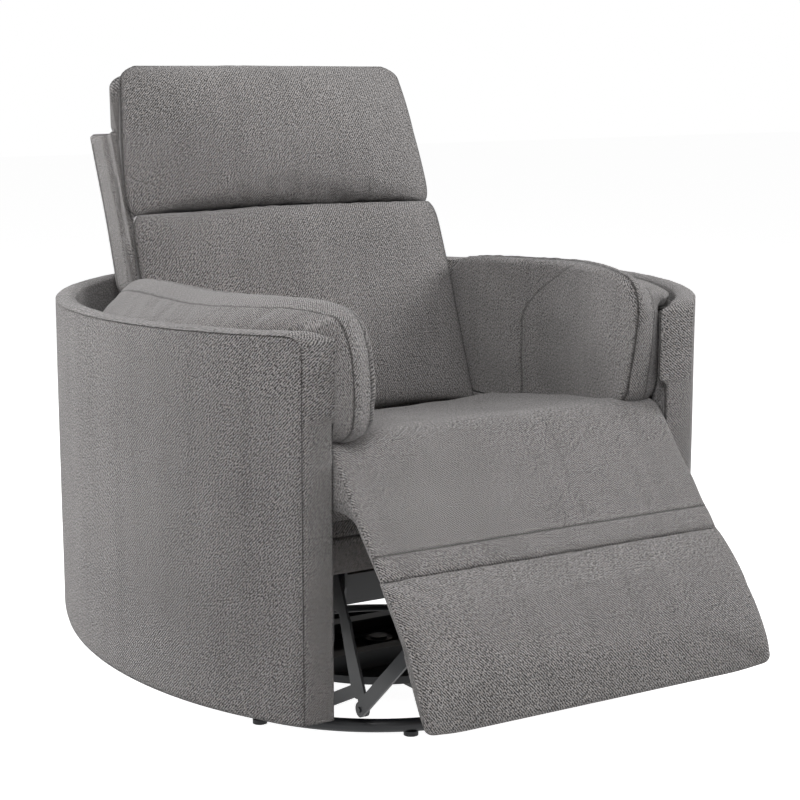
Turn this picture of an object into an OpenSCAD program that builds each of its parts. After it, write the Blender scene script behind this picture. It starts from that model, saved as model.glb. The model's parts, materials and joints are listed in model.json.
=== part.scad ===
// Swivel glider recliner with a round barrel, a reclining back and a fold-out footrest.
// The chair faces -Y and +X is the sitter's left. It is drawn as photographed: footrest half out, back half down.

/* [Barrel] */
// Radius of the barrel's outer face
barrel_r = 493; // [470:1:510]
// Radial thickness of the barrel's wall
wall = 31; // [24:1:36]
// Height of the arm rim above the floor
arm_top = 620; // [600:1:640]
// Distance of the flat arm fronts ahead of the swivel axis
arm_front = 354.6; // [346:0.2:360]
// Depth of the fabric band on each arm front
band_t = 6; // [5:0.5:10]
// Height of the barrel's lower edge at the arm fronts
hem_front = 75; // [68:1:84]
// Height of the barrel's lower edge at the back
hem_back = 160; // [140:1:170]
// Radius of the rounded top front corner of each arm
arm_corner_r = 18; // [12:1:40]
// Distance of the barrel's centre behind the swivel axis
barrel_back = 5; // [0:1:10]
// Half of the angle that the rear barrel panel spans
rear_half_angle = 55; // [45:1:62]

/* [Floor base] */
// Radius of the floor ring's centre line
ring_r = 301; // [280:1:310]
// Radius of the floor ring's tube
ring_tube_r = 10; // [8:0.5:11]
// Height of the glides under the floor ring
foot_h = 5; // [3:0.5:6]
// Radius of each glide
foot_r = 11; // [9:0.5:14]
// Number of glides
foot_count = 8; // [4:2:12]
// Width of a base spoke
spoke_w = 36; // [24:1:50]
// Thickness of a base spoke
spoke_t = 8; // [5:0.5:9]
// Radius of the hub plate on the spokes
hub_r = 95; // [90:1:110]
// Thickness of the pressed steel plates
plate_t = 4; // [3:0.5:5]

/* [Swivel bearing] */
// Radius of the ring of balls
race_r = 70; // [60:1:74]
// Width of each bearing race
race_w = 28; // [24:1:32]
// Thickness of each bearing race
race_t = 5; // [4:0.5:6]
// Radius of a bearing ball
ball_r = 4.5; // [4:0.1:5]
// Number of bearing balls
ball_count = 20; // [12:1:26]
// Gap between the two races
race_gap = 4; // [3:0.5:5]
// Radius of the pivot post
post_r = 14; // [10:1:18]
// Radius of the round turntable plate
turntable_r = 180; // [176:1:186]
// Running clearance of pins and shafts
fit = 0.05; // [0.02:0.01:0.1]
// Gap between a piece and the seat that it rests on
seat_gap = 0.3; // [0.2:0.05:0.5]

/* [Glider] */
// Distance of each glide pivot ahead of or behind the swivel axis
glide_y = 95; // [88:1:98]
// Height of the upper glide pivots
glide_top = 158; // [152:1:162]
// Length of a glide link between its pivots
glide_l = 90; // [84:1:94]
// Width of a glide link
glide_w = 26; // [20:1:28]
// Radius of the glide pins
glide_pin_r = 6; // [4:0.5:7]
// Half of the width between the turntable's side plates
glide_x = 146; // [140:1:148]
// Sideways gap between plates and links
side_gap = 3; // [2.5:0.5:3.5]
// Radius of the carriage's cross tubes
tube_r = 12; // [10:0.5:13]

/* [Seat] */
// Half of the seat cushion's width
seat_half = 287; // [280:1:288]
// Angle at which the seat rises towards its front
seat_pitch = 8.6; // [7:0.1:10]
// Angle at which the seat slides up and forward
slide_pitch = 5; // [4:0.5:6]
// Distance of the seat's front edge ahead of the swivel axis
seat_front = 330; // [326:1:334]
// Height of the seat's front edge
seat_top = 470; // [466:1:474]
// Distance of the seat cushion's rear end behind the swivel axis
seat_rear = 104; // [98:1:108]
// Height of the top of the wooden seat frame
frame_top = 340; // [337:1:342]
// Height of a wooden seat rail
rail_h = 40; // [34:1:44]
// Thickness of a wooden rail
rail_t = 24; // [20:1:26]
// Half of the distance between the mechanism's seat plates
seat_plate_x = 202; // [200:1:204]

/* [Back] */
// Distance of the recline pivot behind the swivel axis
recline_y = 185; // [182:1:188]
// Height of the recline pivot
recline_z = 350; // [346:1:352]
// Lean of the back from upright, as photographed
lean = 21; // [19:0.5:22]
// Half of the back shell's width
shell_half = 289; // [280:1:290]
// Length of the back shell above the pivot
shell_top = 537; // [530:1:550]
// Thickness of the back shell at its sides
shell_t = 64; // [56:1:66]
// Extra thickness of the back shell's rear crown
shell_crown = 9; // [6:1:14]
// Radius of the back shell's rear corners
shell_r = 16; // [14:1:30]
// Half of the back cushions' width
pillow_half = 286; // [276:1:287]
// Height along the back of the crease between the two back cushions
crease = 394; // [386:1:400]
// Height along the back of the head pillow's top
head_top = 634; // [628:1:642]

/* [Footrest] */
// Distance of the footrest's fold ahead of the swivel axis
fold_y = 389; // [386:1:391]
// Height of the footrest's fold
fold_z = 401; // [399:1:403]
// Distance of the crease between flap and pad ahead of the swivel axis
crease_y = 477; // [474:1:480]
// Height of the crease between flap and pad
crease_z = 301; // [298:1:304]
// Downward pitch of the footrest pad, as photographed
pad_pitch = 55.7; // [54:0.1:57]
// Length of the footrest pad below its crease
pad_l = 208; // [195:1:212]
// Thickness of the footrest pad
pad_t = 37; // [30:1:38]
// Thickness of the footrest board
board_t = 12; // [9:1:13]
// Distance of the drag links' fixed pivot ahead of the swivel axis
drag_y = 222; // [220:1:224]
// Height of the drag links' fixed pivot
drag_z = 250; // [249:1:252]
// Distance of the knee pivot ahead of the swivel axis
knee_y = 306; // [304:1:308]
// Height of the knee pivot
knee_z = 65; // [64:1:68]
// Width of the footrest links at their ends
link_w = 22; // [18:1:24]
// Radius of the footrest link pins
link_pin_r = 4; // [3:0.5:5]

/* [Arm pillows] */
// Distance of an arm pillow's inner face from the middle, at the front
pillow_in = 226; // [222:1:232]
// Thickness of an arm pillow's inner pad
pillow_pad = 54; // [46:1:54]
// Height of an arm pillow's ridge
pillow_top = 650; // [644:1:656]
// How far an arm pillow stands ahead of the arm front
pillow_nose = 5; // [2:0.5:8]
// Distance of an arm pillow's rear end behind the swivel axis
pillow_rear = 215; // [200:1:220]
// How far an arm pillow's inner face curves outwards towards its rear
pillow_curve = 70; // [68:1:74]

/* [Hidden] */
$fn = 64;
// Distance of the swivel axis behind the middle of the footprint
stand_back = 45.4;
over = 30;
fabric = "#77716c";
black = "#1c1d20";
steel = "#8f9296";
timber = "#b98f5d";
nylon = "#2a2a2c";

// Heights of the base, from the floor up
ring_z = foot_h + ring_tube_r;
spoke_top = ring_z + spoke_t / 2;
hub_top = spoke_top + plate_t;
ball_z = hub_top + race_t + race_gap / 2;
turntable_z = ball_z + race_gap / 2 + race_t;
turntable_top = turntable_z + plate_t;
bush_top = turntable_top + 3 * plate_t;
lip_h = 2 * plate_t;

// Glider plates and links, measured sideways from the middle
glide_link_x = glide_x + plate_t + side_gap;
carriage_x = glide_link_x + plate_t + side_gap;
ear = glide_w / 2 + plate_t;
ear_top = glide_top + ear - plate_t / 2;
side_low = turntable_top + 5 * tube_r - plate_t;
carriage_low = glide_top - glide_l - glide_w / 2 - plate_t / 4;
tube_z = glide_top - 2 * plate_t;
front_tube_y = tube_r - plate_t / 2;
rear_tube_y = 2 * glide_y + tube_r - plate_t / 2;

// Barrel and arms
inner_r = barrel_r - wall;
panel_x = seat_half + 5;
panel_t = 15;
panel_front = arm_front - band_t;
panel_rear = panel_front - panel_t / 4;
panel_low = hem_front + 2 * barrel_back + rail_t;
panel_top = 405;
shelf_t = 12;
deck_top = arm_top - 21;
post_w = 30;
tie_y = 300;
tie_low = 175;
tie_h = 155;

// Seat slide: a rail on each side, tilted with the seat
track_x = 180;
track_t = 12;
track_h = 24;
track_y = 70;
track_z = 215;
track_front = 124;
track_rear = 212;
runner_front = 20;
runner_rear = 140;
runner_wall = 5;

// Footrest linkage. It is a parallelogram, so the footrest turns about the fold.
drag_x = seat_plate_x + plate_t + side_gap;
coupler_x = drag_x + plate_t + side_gap;
toe_y = fold_y + knee_y - drag_y;
toe_z = fold_z + knee_z - drag_z;
flap_pitch = atan2(fold_z - crease_z, crease_y - fold_y);
flap_l = norm([crease_y - fold_y, fold_z - crease_z]);
flap_t = 42;
frame_low = frame_top - rail_h;
web_low = frame_low - 2.2 * rail_h;
cross_y = 185;
cross_low = 186;
cross_h = 45;
panel_drop = 267;
front_panel_t = 12;
fold_bevel = 27;

// Back shell and frame, in the back's own directions: along it, and forward of the pivot's line
shell_front = 15;
shell_low = 30;
shell_wall = 10;
lumbar_front = 88;
head_front = 112;
back_post_w = 26;
back_post_t = 36;
slat_h = 50;
arm_plate_l = 210;
pin_pitch_r = 6;

// How far an arm pillow's ridge drops at its rear end
pillow_drop = 28;

// Number of stations across a soft piece, and steps between two outline points
stations = 6;
steps = 3;
far_off = 2000;

function mix(a, b, t) = a + (b - a) * t;

// A closed smooth curve through the points, k points for each one given
function smooth_loop(p, k) = [for (i = [0:len(p) - 1], j = [0:k - 1])
    let (n = len(p), t = j / k, a = p[(i + n - 1) % n], b = p[i], c = p[(i + 1) % n], d = p[(i + 2) % n])
    0.5 * (2 * b + (c - a) * t + (2 * a - 5 * b + 4 * c - d) * t * t + (3 * b - a - 3 * c + d) * t * t * t)];

// A closed skin over rings that hold the same number of points
module loft(rings) {
    n = len(rings[0]);
    m = len(rings);
    sides = [for (j = [0:m - 2], i = [0:n - 1]) let (k = (i + 1) % n)
        each [[j * n + i, j * n + k, (j + 1) * n + k], [j * n + i, (j + 1) * n + k, (j + 1) * n + i]]];
    first = [for (i = [0:n - 1]) n - 1 - i];
    last = [for (i = [0:n - 1]) (m - 1) * n + i];
    polyhedron(points = [for (r = rings) each r], faces = concat([first], sides, [last]), convexity = 8);
}

// A cushion: an outline in its side view, carried across the width. It is drawn in at both ends
// about the point centre, and crowned in the middle. A low power starts the drawing-in early.
// The outline is pressed flat at the limits: least and most of its first place, then of its second.
module cushion(half, outline, centre, drawn, crown, power = 8,
    limits = [-far_off, far_off, -far_off, far_off]) {
    shape = [for (q = smooth_loop(outline, steps))
        [max(limits[0], min(limits[1], q[0])), max(limits[2], min(limits[3], q[1]))]];
    rings = [for (j = [-stations:stations])
        let (x = half * sin(90 * j / stations), u = pow(abs(sin(90 * j / stations)), power),
            s = 1 + crown * (1 - pow(sin(90 * j / stations), 2)), l = 1 - drawn[0] * pow(u, 3),
                t = (1 - drawn[1] * u) * s)
        [for (q = shape) [x, centre[0] + (q[0] - centre[0]) * l, centre[1] + (q[1] - centre[1]) * t]]];
    loft(rings);
}

module both_sides() {
    children();
    mirror([1, 0, 0]) children();
}

// A flat shape given in side view, y and z, as a plate of thickness t that starts at x
module side_plate(x, t) {
    translate([x, 0, 0]) rotate([90, 0, 90]) linear_extrude(t) children();
}

// A bar with round ends between two points of a side view
module bar(p, q, w) {
    l = norm(q - p);
    translate(p) circle(d = w);
    translate(q) circle(d = w);
    translate(p) rotate(atan2(q[1] - p[1], q[0] - p[0])) translate([0, -w / 2]) square([l, w]);
}

// A pin along x at a point of a side view
module pin(x0, x1, p, r) {
    translate([x0, p[0], p[1]]) rotate([0, 90, 0]) cylinder(r = r, h = x1 - x0);
}

module ring_tube(extra) {
    translate([0, 0, ring_z]) rotate_extrude($fn = 96) translate([ring_r, 0]) circle(r = ring_tube_r + extra);
}

module base_ring() {
    color(black) ring_tube(0);
}

module ring_feet() {
    for (i = [0:foot_count - 1])
        color(nylon) difference() {
            rotate((i + 0.5) * 360 / foot_count) translate([0, -ring_r, 0])
                cylinder(r = foot_r, h = foot_h + plate_t / 2);
            ring_tube(fit);
        }
}

module base_spokes() {
    for (i = [0:3])
        color(black) difference() {
            rotate(90 * i) translate([hub_r / 2, -spoke_w / 2, ring_z - spoke_t / 2])
                cube([ring_r - hub_r / 2, spoke_w, spoke_t]);
            ring_tube(fit);
        }
    color(black) translate([0, 0, ring_z - spoke_t / 2]) cylinder(r = hub_r / 2, h = spoke_t);
}

module hub_plate() {
    color(black) translate([0, 0, spoke_top]) difference() {
        cylinder(r = hub_r, h = plate_t);
        translate([0, 0, -over]) cylinder(r = post_r + fit, h = plate_t + 2 * over);
    }
}

module hub_bolts() {
    bolt_r = spoke_t;
    for (i = [0:3])
        color(steel) rotate(90 * i) translate([hub_r - 1.25 * bolt_r, 0, hub_top])
            cylinder(r = bolt_r, h = plate_t, $fn = 6);
}

module race(z) {
    difference() {
        translate([0, 0, z]) difference() {
            cylinder(r = race_r + race_w / 2 - spoke_t, h = race_t);
            translate([0, 0, -over]) cylinder(r = race_r - race_w / 2, h = race_t + 2 * over);
        }
        translate([0, 0, ball_z]) rotate_extrude() translate([race_r, 0]) circle(r = ball_r + seat_gap / 2);
    }
}

module lower_race() {
    color(steel) race(hub_top);
}

module bearing_balls() {
    for (i = [0:ball_count - 1])
        color(steel) rotate(i * 360 / ball_count) translate([race_r, 0, ball_z]) sphere(r = ball_r, $fn = 32);
}

module pivot_post() {
    color(steel) translate([0, 0, spoke_top]) cylinder(r = post_r, h = bush_top - spoke_top + 2 * plate_t);
}

module post_washer() {
    color(steel) translate([0, 0, bush_top + seat_gap]) difference() {
        cylinder(r = post_r + 2 * plate_t, h = plate_t);
        translate([0, 0, -over]) cylinder(r = post_r + fit, h = plate_t + 2 * over);
    }
}

module turntable_plate() {
    bush_r = post_r + 2 * plate_t;
    color(black) translate([0, 0, turntable_z]) difference() {
        union() {
            cylinder(r = turntable_r, h = plate_t);
            difference() {
                cylinder(r = turntable_r, h = plate_t + lip_h);
                translate([0, 0, plate_t]) cylinder(r = turntable_r - plate_t, h = lip_h + over);
            }
        }
        translate([0, 0, -over]) cylinder(r = bush_r + fit, h = plate_t + 2 * over);
    }
}

module upper_race() {
    color(steel) race(ball_z + race_gap / 2);
}

module swivel_bush() {
    color(nylon) translate([0, 0, turntable_z]) difference() {
        cylinder(r = post_r + 2 * plate_t, h = bush_top - turntable_z);
        translate([0, 0, -over]) cylinder(r = post_r + fit, h = bush_top + 2 * over);
    }
}

// One side plate of the glider's base: two ears that carry the links, and a low middle
module glider_side() {
    foot = sqrt(pow(turntable_r - plate_t, 2) - pow(glide_x + plate_t, 2)) - fit;
    inner = glide_y - ear;
    half = [[foot, turntable_top], [foot, side_low], [glide_y + ear, ear_top - ear], [glide_y + ear, ear_top],
        [glide_y - ear, ear_top], [inner, side_low]];
    other = [for (i = [len(half) - 1:-1:0]) [-half[i][0], half[i][1]]];
    color(black) side_plate(glide_x, plate_t) difference() {
        polygon(concat(half, other));
        for (s = [-1, 1]) translate([s * glide_y, glide_top]) circle(r = glide_pin_r + fit);
    }
}

module glider_side_left() {
    glider_side();
}

module glider_side_right() {
    mirror([1, 0, 0]) glider_side();
}

// Low cross channels between the two side plates, front and rear
module glider_channels() {
    deep = 1.5 * ear;
    high = 7 * plate_t;
    foot = sqrt(pow(turntable_r - plate_t, 2) - pow(glide_x + plate_t, 2));
    for (s = [-1, 1])
        color(black) translate([-glide_x, 0, 0]) rotate([90, 0, 90]) linear_extrude(2 * glide_x)
            polygon([for (q = [[0, 0], [deep, 0], [deep, plate_t], [plate_t, plate_t],
                [plate_t, high - plate_t],
                [deep, high - plate_t], [deep, high], [0, high]])
                [s * (foot - plate_t - q[0]), turntable_top + seat_gap + q[1]]]);
}

module upper_glide_pins() {
    for (s = [-1, 1])
        color(steel) both_sides()
            pin(glide_x + seat_gap, carriage_x - side_gap / 2, [s * glide_y, glide_top], glide_pin_r);
}

// A pair of hanging links, one on each side
module glide_link_pair(y) {
    color(steel) both_sides() side_plate(glide_link_x, plate_t) difference() {
        bar([y, glide_top], [y, glide_top - glide_l], glide_w);
        for (z = [glide_top, glide_top - glide_l]) translate([y, z]) circle(r = glide_pin_r + fit);
    }
}

module glide_links_front() {
    glide_link_pair(-glide_y);
}

module glide_links_rear() {
    glide_link_pair(glide_y);
}

module carriage_plate() {
    top = tube_z + tube_r + plate_t / 2;
    nose = glide_y + 1.5 * glide_w;
    tail = rear_tube_y + 1.5 * tube_r;
    color(black) side_plate(carriage_x, plate_t) difference() {
        polygon([[-glide_y - glide_w, carriage_low], [glide_y + glide_w, carriage_low],
            [glide_y + 2 * glide_w, tube_z - 3 * tube_r], [tail, tube_z - 2 * tube_r], [tail, top],
            [-nose, top], [-nose, tube_z - 3 * tube_r]]);
        for (s = [-1, 1]) translate([s * glide_y, glide_top - glide_l]) circle(r = glide_pin_r + fit);
        for (y = [front_tube_y, rear_tube_y]) translate([y, tube_z]) circle(r = tube_r + fit);
    }
}

module carriage_plate_left() {
    carriage_plate();
}

module carriage_plate_right() {
    mirror([1, 0, 0]) carriage_plate();
}

module carriage_tubes() {
    for (y = [front_tube_y, rear_tube_y])
        color(black) difference() {
            pin(-panel_x, panel_x, [y, tube_z], tube_r);
            pin(-panel_x - over, panel_x + over, [y, tube_z], tube_r - plate_t / 2);
        }
}

module lower_glide_pins() {
    for (s = [-1, 1])
        color(steel) both_sides()
            pin(glide_link_x - side_gap / 2, carriage_x + plate_t * 1.5, [s * glide_y, glide_top - glide_l],
                glide_pin_r);
}

// A length of the seat slide in side view: from y0 to y1 along the tilted rail, between two heights off its middle
module slide_strip(y0, y1, low, high) {
    translate([track_y, track_z]) rotate(-slide_pitch) translate([y0 - track_y, low])
        square([y1 - y0, high - low]);
}

// The slide's rails stand on the carriage's two tubes
module slide_tracks() {
    block = 1.5 * tube_r;
    color(steel) both_sides() {
        side_plate(track_x, track_t) slide_strip(-track_front, track_rear, -track_h / 2, track_h / 2);
        for (y = [front_tube_y, rear_tube_y])
            difference() {
                side_plate(track_x, track_t) difference() {
                    translate([y - block / 2, tube_z]) square([block, track_z - tube_z]);
                    slide_strip(-track_front - over, track_rear + 2 * over, -track_h / 2, track_z);
                }
                pin(track_x - over, track_x + track_t + over, [y, tube_z], tube_r + fit);
            }
    }
}

// The barrel's whole wall, from the hem to the rim
module barrel_wall() {
    reach = 2 * barrel_r;
    slope = (hem_back - hem_front) / (arm_front + barrel_back + barrel_r);
    difference() {
        translate([0, barrel_back, 0]) difference() {
            cylinder(r = barrel_r, h = arm_top, $fn = 128);
            translate([0, 0, -over]) cylinder(r = inner_r, h = arm_top + 2 * over, $fn = 128);
        }
        translate([-reach, -reach - arm_front, -over]) cube([2 * reach, reach, arm_top + 2 * over]);
        side_plate(-reach, 2 * reach) polygon([[-reach, -over], [reach, -over],
            [reach, hem_front + slope * (reach + arm_front)],
            [-reach, hem_front - slope * (reach - arm_front)]]);
        side_plate(-reach, 2 * reach) difference() {
            translate([-arm_front - over, arm_top - arm_corner_r])
                square([arm_corner_r + over, arm_corner_r + over]);
            translate([-arm_front + arm_corner_r, arm_top - arm_corner_r]) circle(r = arm_corner_r);
        }
    }
}

// The wedge of the plan between two angles, counted from the rear towards +X
module plan_wedge(a0, a1) {
    reach = 3 * barrel_r;
    turn = (a1 - a0) / 2;
    translate([0, barrel_back, -over]) linear_extrude(arm_top + 2 * over) polygon([[0, 0],
        [reach * sin(a0), reach * cos(a0)], [reach * sin(a0 + turn), reach * cos(a0 + turn)],
        [reach * sin(a1), reach * cos(a1)]]);
}

module barrel_side() {
    reach = 2 * barrel_r;
    color(fabric) difference() {
        intersection() {
            barrel_wall();
            plan_wedge(rear_half_angle, 179);
        }
        translate([0, -reach - panel_front, -over]) cube([reach, reach, arm_top + 2 * over]);
    }
}

module barrel_left() {
    barrel_side();
}

module barrel_right() {
    mirror([1, 0, 0]) barrel_side();
}

module barrel_rear() {
    color(fabric) intersection() {
        barrel_wall();
        plan_wedge(-rear_half_angle, rear_half_angle);
    }
}

module front_band() {
    color(fabric) intersection() {
        barrel_wall();
        translate([0, -arm_front, 0]) cube([barrel_r, band_t, arm_top]);
    }
}

module front_band_left() {
    front_band();
}

module front_band_right() {
    mirror([1, 0, 0]) front_band();
}

// The cloth-covered inner face of each arm, which rises beside the pillow's front end
module arm_panel() {
    riser = -panel_front + 2 * post_w;
    color(fabric) intersection() {
        side_plate(panel_x, panel_t) polygon([[-panel_front, panel_low - rail_t / 2],
            [panel_rear, panel_low + 2 * rail_t],
            [panel_rear, panel_top], [riser, panel_top], [riser, deck_top - shelf_t / 4],
            [-panel_front, deck_top - shelf_t / 4]]);
        translate([0, barrel_back, 0]) cylinder(r = inner_r - seat_gap, h = arm_top, $fn = 128);
    }
}

module arm_panel_left() {
    arm_panel();
}

module arm_panel_right() {
    mirror([1, 0, 0]) arm_panel();
}

// Plan of the space between an arm's inner line and the barrel's wall
module arm_plan(inner) {
    intersection() {
        translate([0, barrel_back]) circle(r = inner_r - seat_gap, $fn = 128);
        polygon(concat(inner, [[barrel_r, inner[len(inner) - 1][1]], [barrel_r, inner[0][1]]]));
    }
}

// Shelves that tie the panel to the barrel, the deck under the pillow, and its two posts
module arm_shelves() {
    deck_line = [for (i = [1:steps * 2]) pillow_foot(0.7 * i / steps / 2)];
    post_places = [deck_line[2] + [post_w, 0], deck_line[steps + 1] + [post_w, 0]];
    color(timber) {
        for (z = [hem_back + shelf_t, panel_top - shelf_t])
            translate([0, 0, z]) linear_extrude(shelf_t)
                arm_plan([[panel_x + panel_t, -panel_front], [panel_x + panel_t, panel_rear]]);
        translate([0, 0, deck_top - shelf_t]) linear_extrude(shelf_t) arm_plan(deck_line);
        for (p = post_places) translate([p[0], p[1] - post_w / 2, panel_top])
            cube([post_w, post_w, deck_top - shelf_t - panel_top]);
    }
}

module arm_shelves_left() {
    arm_shelves();
}

module arm_shelves_right() {
    mirror([1, 0, 0]) arm_shelves();
}

module rear_tie_board() {
    color(timber) translate([-panel_x, tie_y, tie_low]) cube([2 * panel_x, rail_t * 0.75, tie_h]);
}

// Arm pillow: its inner line, the foot of its outer face, and its place against the barrel
function ease(t) = let (u = max(0, min(1, t))) u * u * (3 - 2 * u);
function pillow_line(t) = [pillow_in + pillow_curve * ease(t / 0.58), mix(-arm_front, pillow_rear, t)];
function pillow_foot(t) = pillow_line(t) + [pillow_pad + 2, 0];
function pillow_edge(t) = let (a = mix(38.8, 95, t), r = inner_r - 2) [r * sin(a), barrel_back - r * cos(a)];
function seat_height(y) = seat_top - (y + seat_front) * tan(seat_pitch);

// One ring of the pillow at t, shrunk across and upright by s and pushed back by d, with its foot drawn back by f.
// The crown strip runs from the inner roll to the outer seam, and a sloping panel runs on to the rim.
function pillow_ring(t, s, d, f) = let (a = pillow_line(t), b = pillow_edge(t), w = norm(b - a),
    e = (b - a) / w,
        low = max(seat_height(a[1]) + 6, panel_top + 3),
            top = pillow_top - pillow_drop * ease((t - 0.8) / 0.25),
        h = top - low, rim = arm_top, pad = min(pillow_pad, w * 0.88),
        seam = min(w * 0.8, pillow_pad + 55 * ease(t / 0.5)), mid = [pad * 0.42, low + h * 0.42],
        flat = [[pad * 0.3, low], [pad * 0.08, low + h * 0.07], [0, low + h * 0.28],
            [-pad * 0.04, low + h * 0.55],
            [pad * 0.02, low + h * 0.8], [pad * 0.2, low + h * 0.93], [mix(pad * 0.5, seam * 0.4, 0.5), top],
            [seam * 0.72, top - h * 0.012], [seam, mix(top, rim, 0.36)],
            [mix(seam, w, 0.5), mix(top, rim, 0.64)],
            [w, rim - shelf_t / 4], [w, deck_top + 2 * seat_gap], [mix(pad, w, 0.5), deck_top + 2 * seat_gap],
            [pad, deck_top], [pad, low + h * 0.4], [pad, low + h * 0.06], [pad * 0.8, low]])
    [for (q = flat) let (p = [for (k = [0, 1]) mid[k] + (q[k] - mid[k]) * s[k]],
        u = f * ease((low + h * 0.5 - q[1]) / h / 0.45))
        [a[0] + e[0] * p[0], a[1] + e[1] * p[0] + d + u, p[1]]];

module arm_pillow() {
    count = 10;
    first = 0.07;
    nose = [[[0.6, 0.62], -pillow_nose, 24], [[0.78, 0.78], -pillow_nose * 0.6, 22],
        [[0.92, 0.9], pillow_nose, 18],
        [[0.98, 0.97], pillow_nose * 3.4, 11]];
    rings = concat([for (q = nose) pillow_ring(0, q[0], q[1], q[2])],
        [for (i = [0:count]) pillow_ring(mix(first, 1, i / count), [1, 1], 0, i == 0 ? 4 : 0)],
        [pillow_ring(1, [0.95, 0.9], 2 * band_t, 0), pillow_ring(1, [0.8, 0.72], 3 * band_t, 0)]);
    color(fabric) loft(rings);
}

module arm_pillow_left() {
    arm_pillow();
}

module arm_pillow_right() {
    mirror([1, 0, 0]) arm_pillow();
}

// A channel that rides over each slide rail and carries a seat plate
module slide_runners() {
    x0 = track_x - seat_gap - runner_wall;
    color(steel) both_sides() difference() {
        side_plate(x0, seat_plate_x - x0)
            slide_strip(-runner_front, runner_rear, -track_h / 2, track_h / 2 + seat_gap + runner_wall);
        side_plate(track_x - seat_gap, track_t + 2 * seat_gap)
            slide_strip(-runner_front - over, runner_rear + over, -track_h, track_h / 2 + seat_gap);
    }
}

// The mechanism's seat plate: an ear for the back, a long web and a front lobe for the drag link
module seat_plate() {
    color(black) side_plate(seat_plate_x, plate_t) difference() {
        union() {
            polygon([[-drag_y - link_w / 2, cross_low], [-cross_y + rail_t, cross_low],
                [-cross_y + 2 * rail_t, web_low], [runner_rear + track_h, web_low],
                [recline_y + link_w / 2, frame_low - rail_h / 2],
                [recline_y + link_w * 0.8, recline_z], [recline_y - link_w * 0.8, recline_z],
                [recline_y - link_w, frame_low], [-drag_y - link_w, frame_low],
                [-drag_y - link_w, drag_z - link_w]]);
            translate([recline_y, recline_z]) circle(r = link_w * 0.8);
        }
        translate([-drag_y, drag_z]) circle(r = pin_pitch_r + fit);
        translate([recline_y, recline_z]) circle(r = pin_pitch_r + fit);
    }
}

module seat_plate_left() {
    seat_plate();
}

module seat_plate_right() {
    mirror([1, 0, 0]) seat_plate();
}

// Pins of the drag links and of the back, fixed in the seat plates
module mechanism_pins() {
    color(steel) both_sides() {
        pin(seat_plate_x - plate_t, drag_x + plate_t * 1.5, [-drag_y, drag_z], pin_pitch_r);
        pin(seat_plate_x - plate_t, drag_x + plate_t * 1.5, [recline_y, recline_z], pin_pitch_r);
    }
}

module footrest_cross_rail() {
    color(black) translate([-seat_plate_x, -cross_y - rail_t / 2, cross_low]) difference() {
        cube([2 * seat_plate_x, rail_t, cross_h]);
        translate([-over, plate_t, plate_t]) cube([2 * seat_plate_x + 2 * over, rail_t, cross_h - 2 * plate_t]);
    }
}

module seat_front_rail() {
    color(timber) translate([-seat_half + plate_t, -drag_y - 3 * link_w, frame_low])
        cube([2 * (seat_half - plate_t), rail_t, rail_h]);
}

module seat_rear_rail() {
    color(timber) translate([-seat_half + plate_t, seat_rear - plate_t, frame_low])
        cube([2 * (seat_half - plate_t), rail_t, rail_h]);
}

module seat_side_rails() {
    y0 = -drag_y - 3 * link_w + rail_t;
    color(timber) both_sides() translate([seat_half - plate_t - rail_t, y0, frame_low])
        cube([rail_t, seat_rear - plate_t - y0, rail_h]);
}

// Zigzag springs from the front rail to the rear rail
module seat_springs() {
    wire = 4;
    count = 5;
    bends = 13;
    y0 = -drag_y - 3 * link_w + rail_t / 2;
    pitch = (seat_rear - plate_t + rail_t / 2 - y0) / bends;
    color(steel) for (i = [0:count - 1])
        translate([(i - (count - 1) / 2) * seat_half * 0.34, y0, frame_top]) linear_extrude(wire)
            for (j = [0:bends - 1])
                translate([0, (j + 0.5) * pitch]) rotate(j % 2 == 0 ? 0 : 180) intersection() {
                    difference() {
                        circle(d = pitch + wire);
                        circle(d = pitch - wire);
                    }
                    translate([-fit, -pitch]) square([pitch, 2 * pitch]);
                }
}

module front_panel() {
    color(fabric) translate([-seat_half + plate_t, -drag_y - 3 * link_w - front_panel_t, panel_drop])
        cube([2 * (seat_half - plate_t), front_panel_t, frame_top + rail_t * 0.85 - panel_drop]);
}

// The seat pad with its waterfall front, which ends at the fold
module seat_cushion() {
    low = frame_top + 5;
    under = [-drag_y - 3 * link_w - front_panel_t, frame_top + rail_t + 6];
    cut = flap_t + 4;
    a = -90 + flap_pitch + fold_bevel;
    heel = [-fold_y + 7 + cut * cos(a), fold_z - 1 + cut * sin(a)];
    brow = [-seat_front - 6, seat_top - 5];
    outline = [[-fold_y + 6, fold_z + 3], [-fold_y + 10, fold_z - 4], heel, mix(heel, under, 0.6),
        [under[0] + 26, under[1] - 12],
        [-seat_front + 90, low], [0, low], [seat_rear - 10, low], [seat_rear, low + 12],
        [seat_rear, seat_height(seat_rear) - 14],
        [seat_rear - 16, seat_height(seat_rear - 16)], [0, seat_height(0) + 4],
        [-seat_front / 2, seat_height(-seat_front / 2) + 3],
        [-seat_front * 0.85, seat_height(-seat_front * 0.85) + 1], brow,
        mix(brow, [-fold_y, fold_z], 0.5) + [-1, 1]];
    color(fabric) cushion(seat_half, outline, [-120, low], [0.004, 0.1], 0.02);
}

module on_back() {
    translate([0, recline_y, recline_z]) rotate([90 - lean, 0, 0]) children();
}

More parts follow.
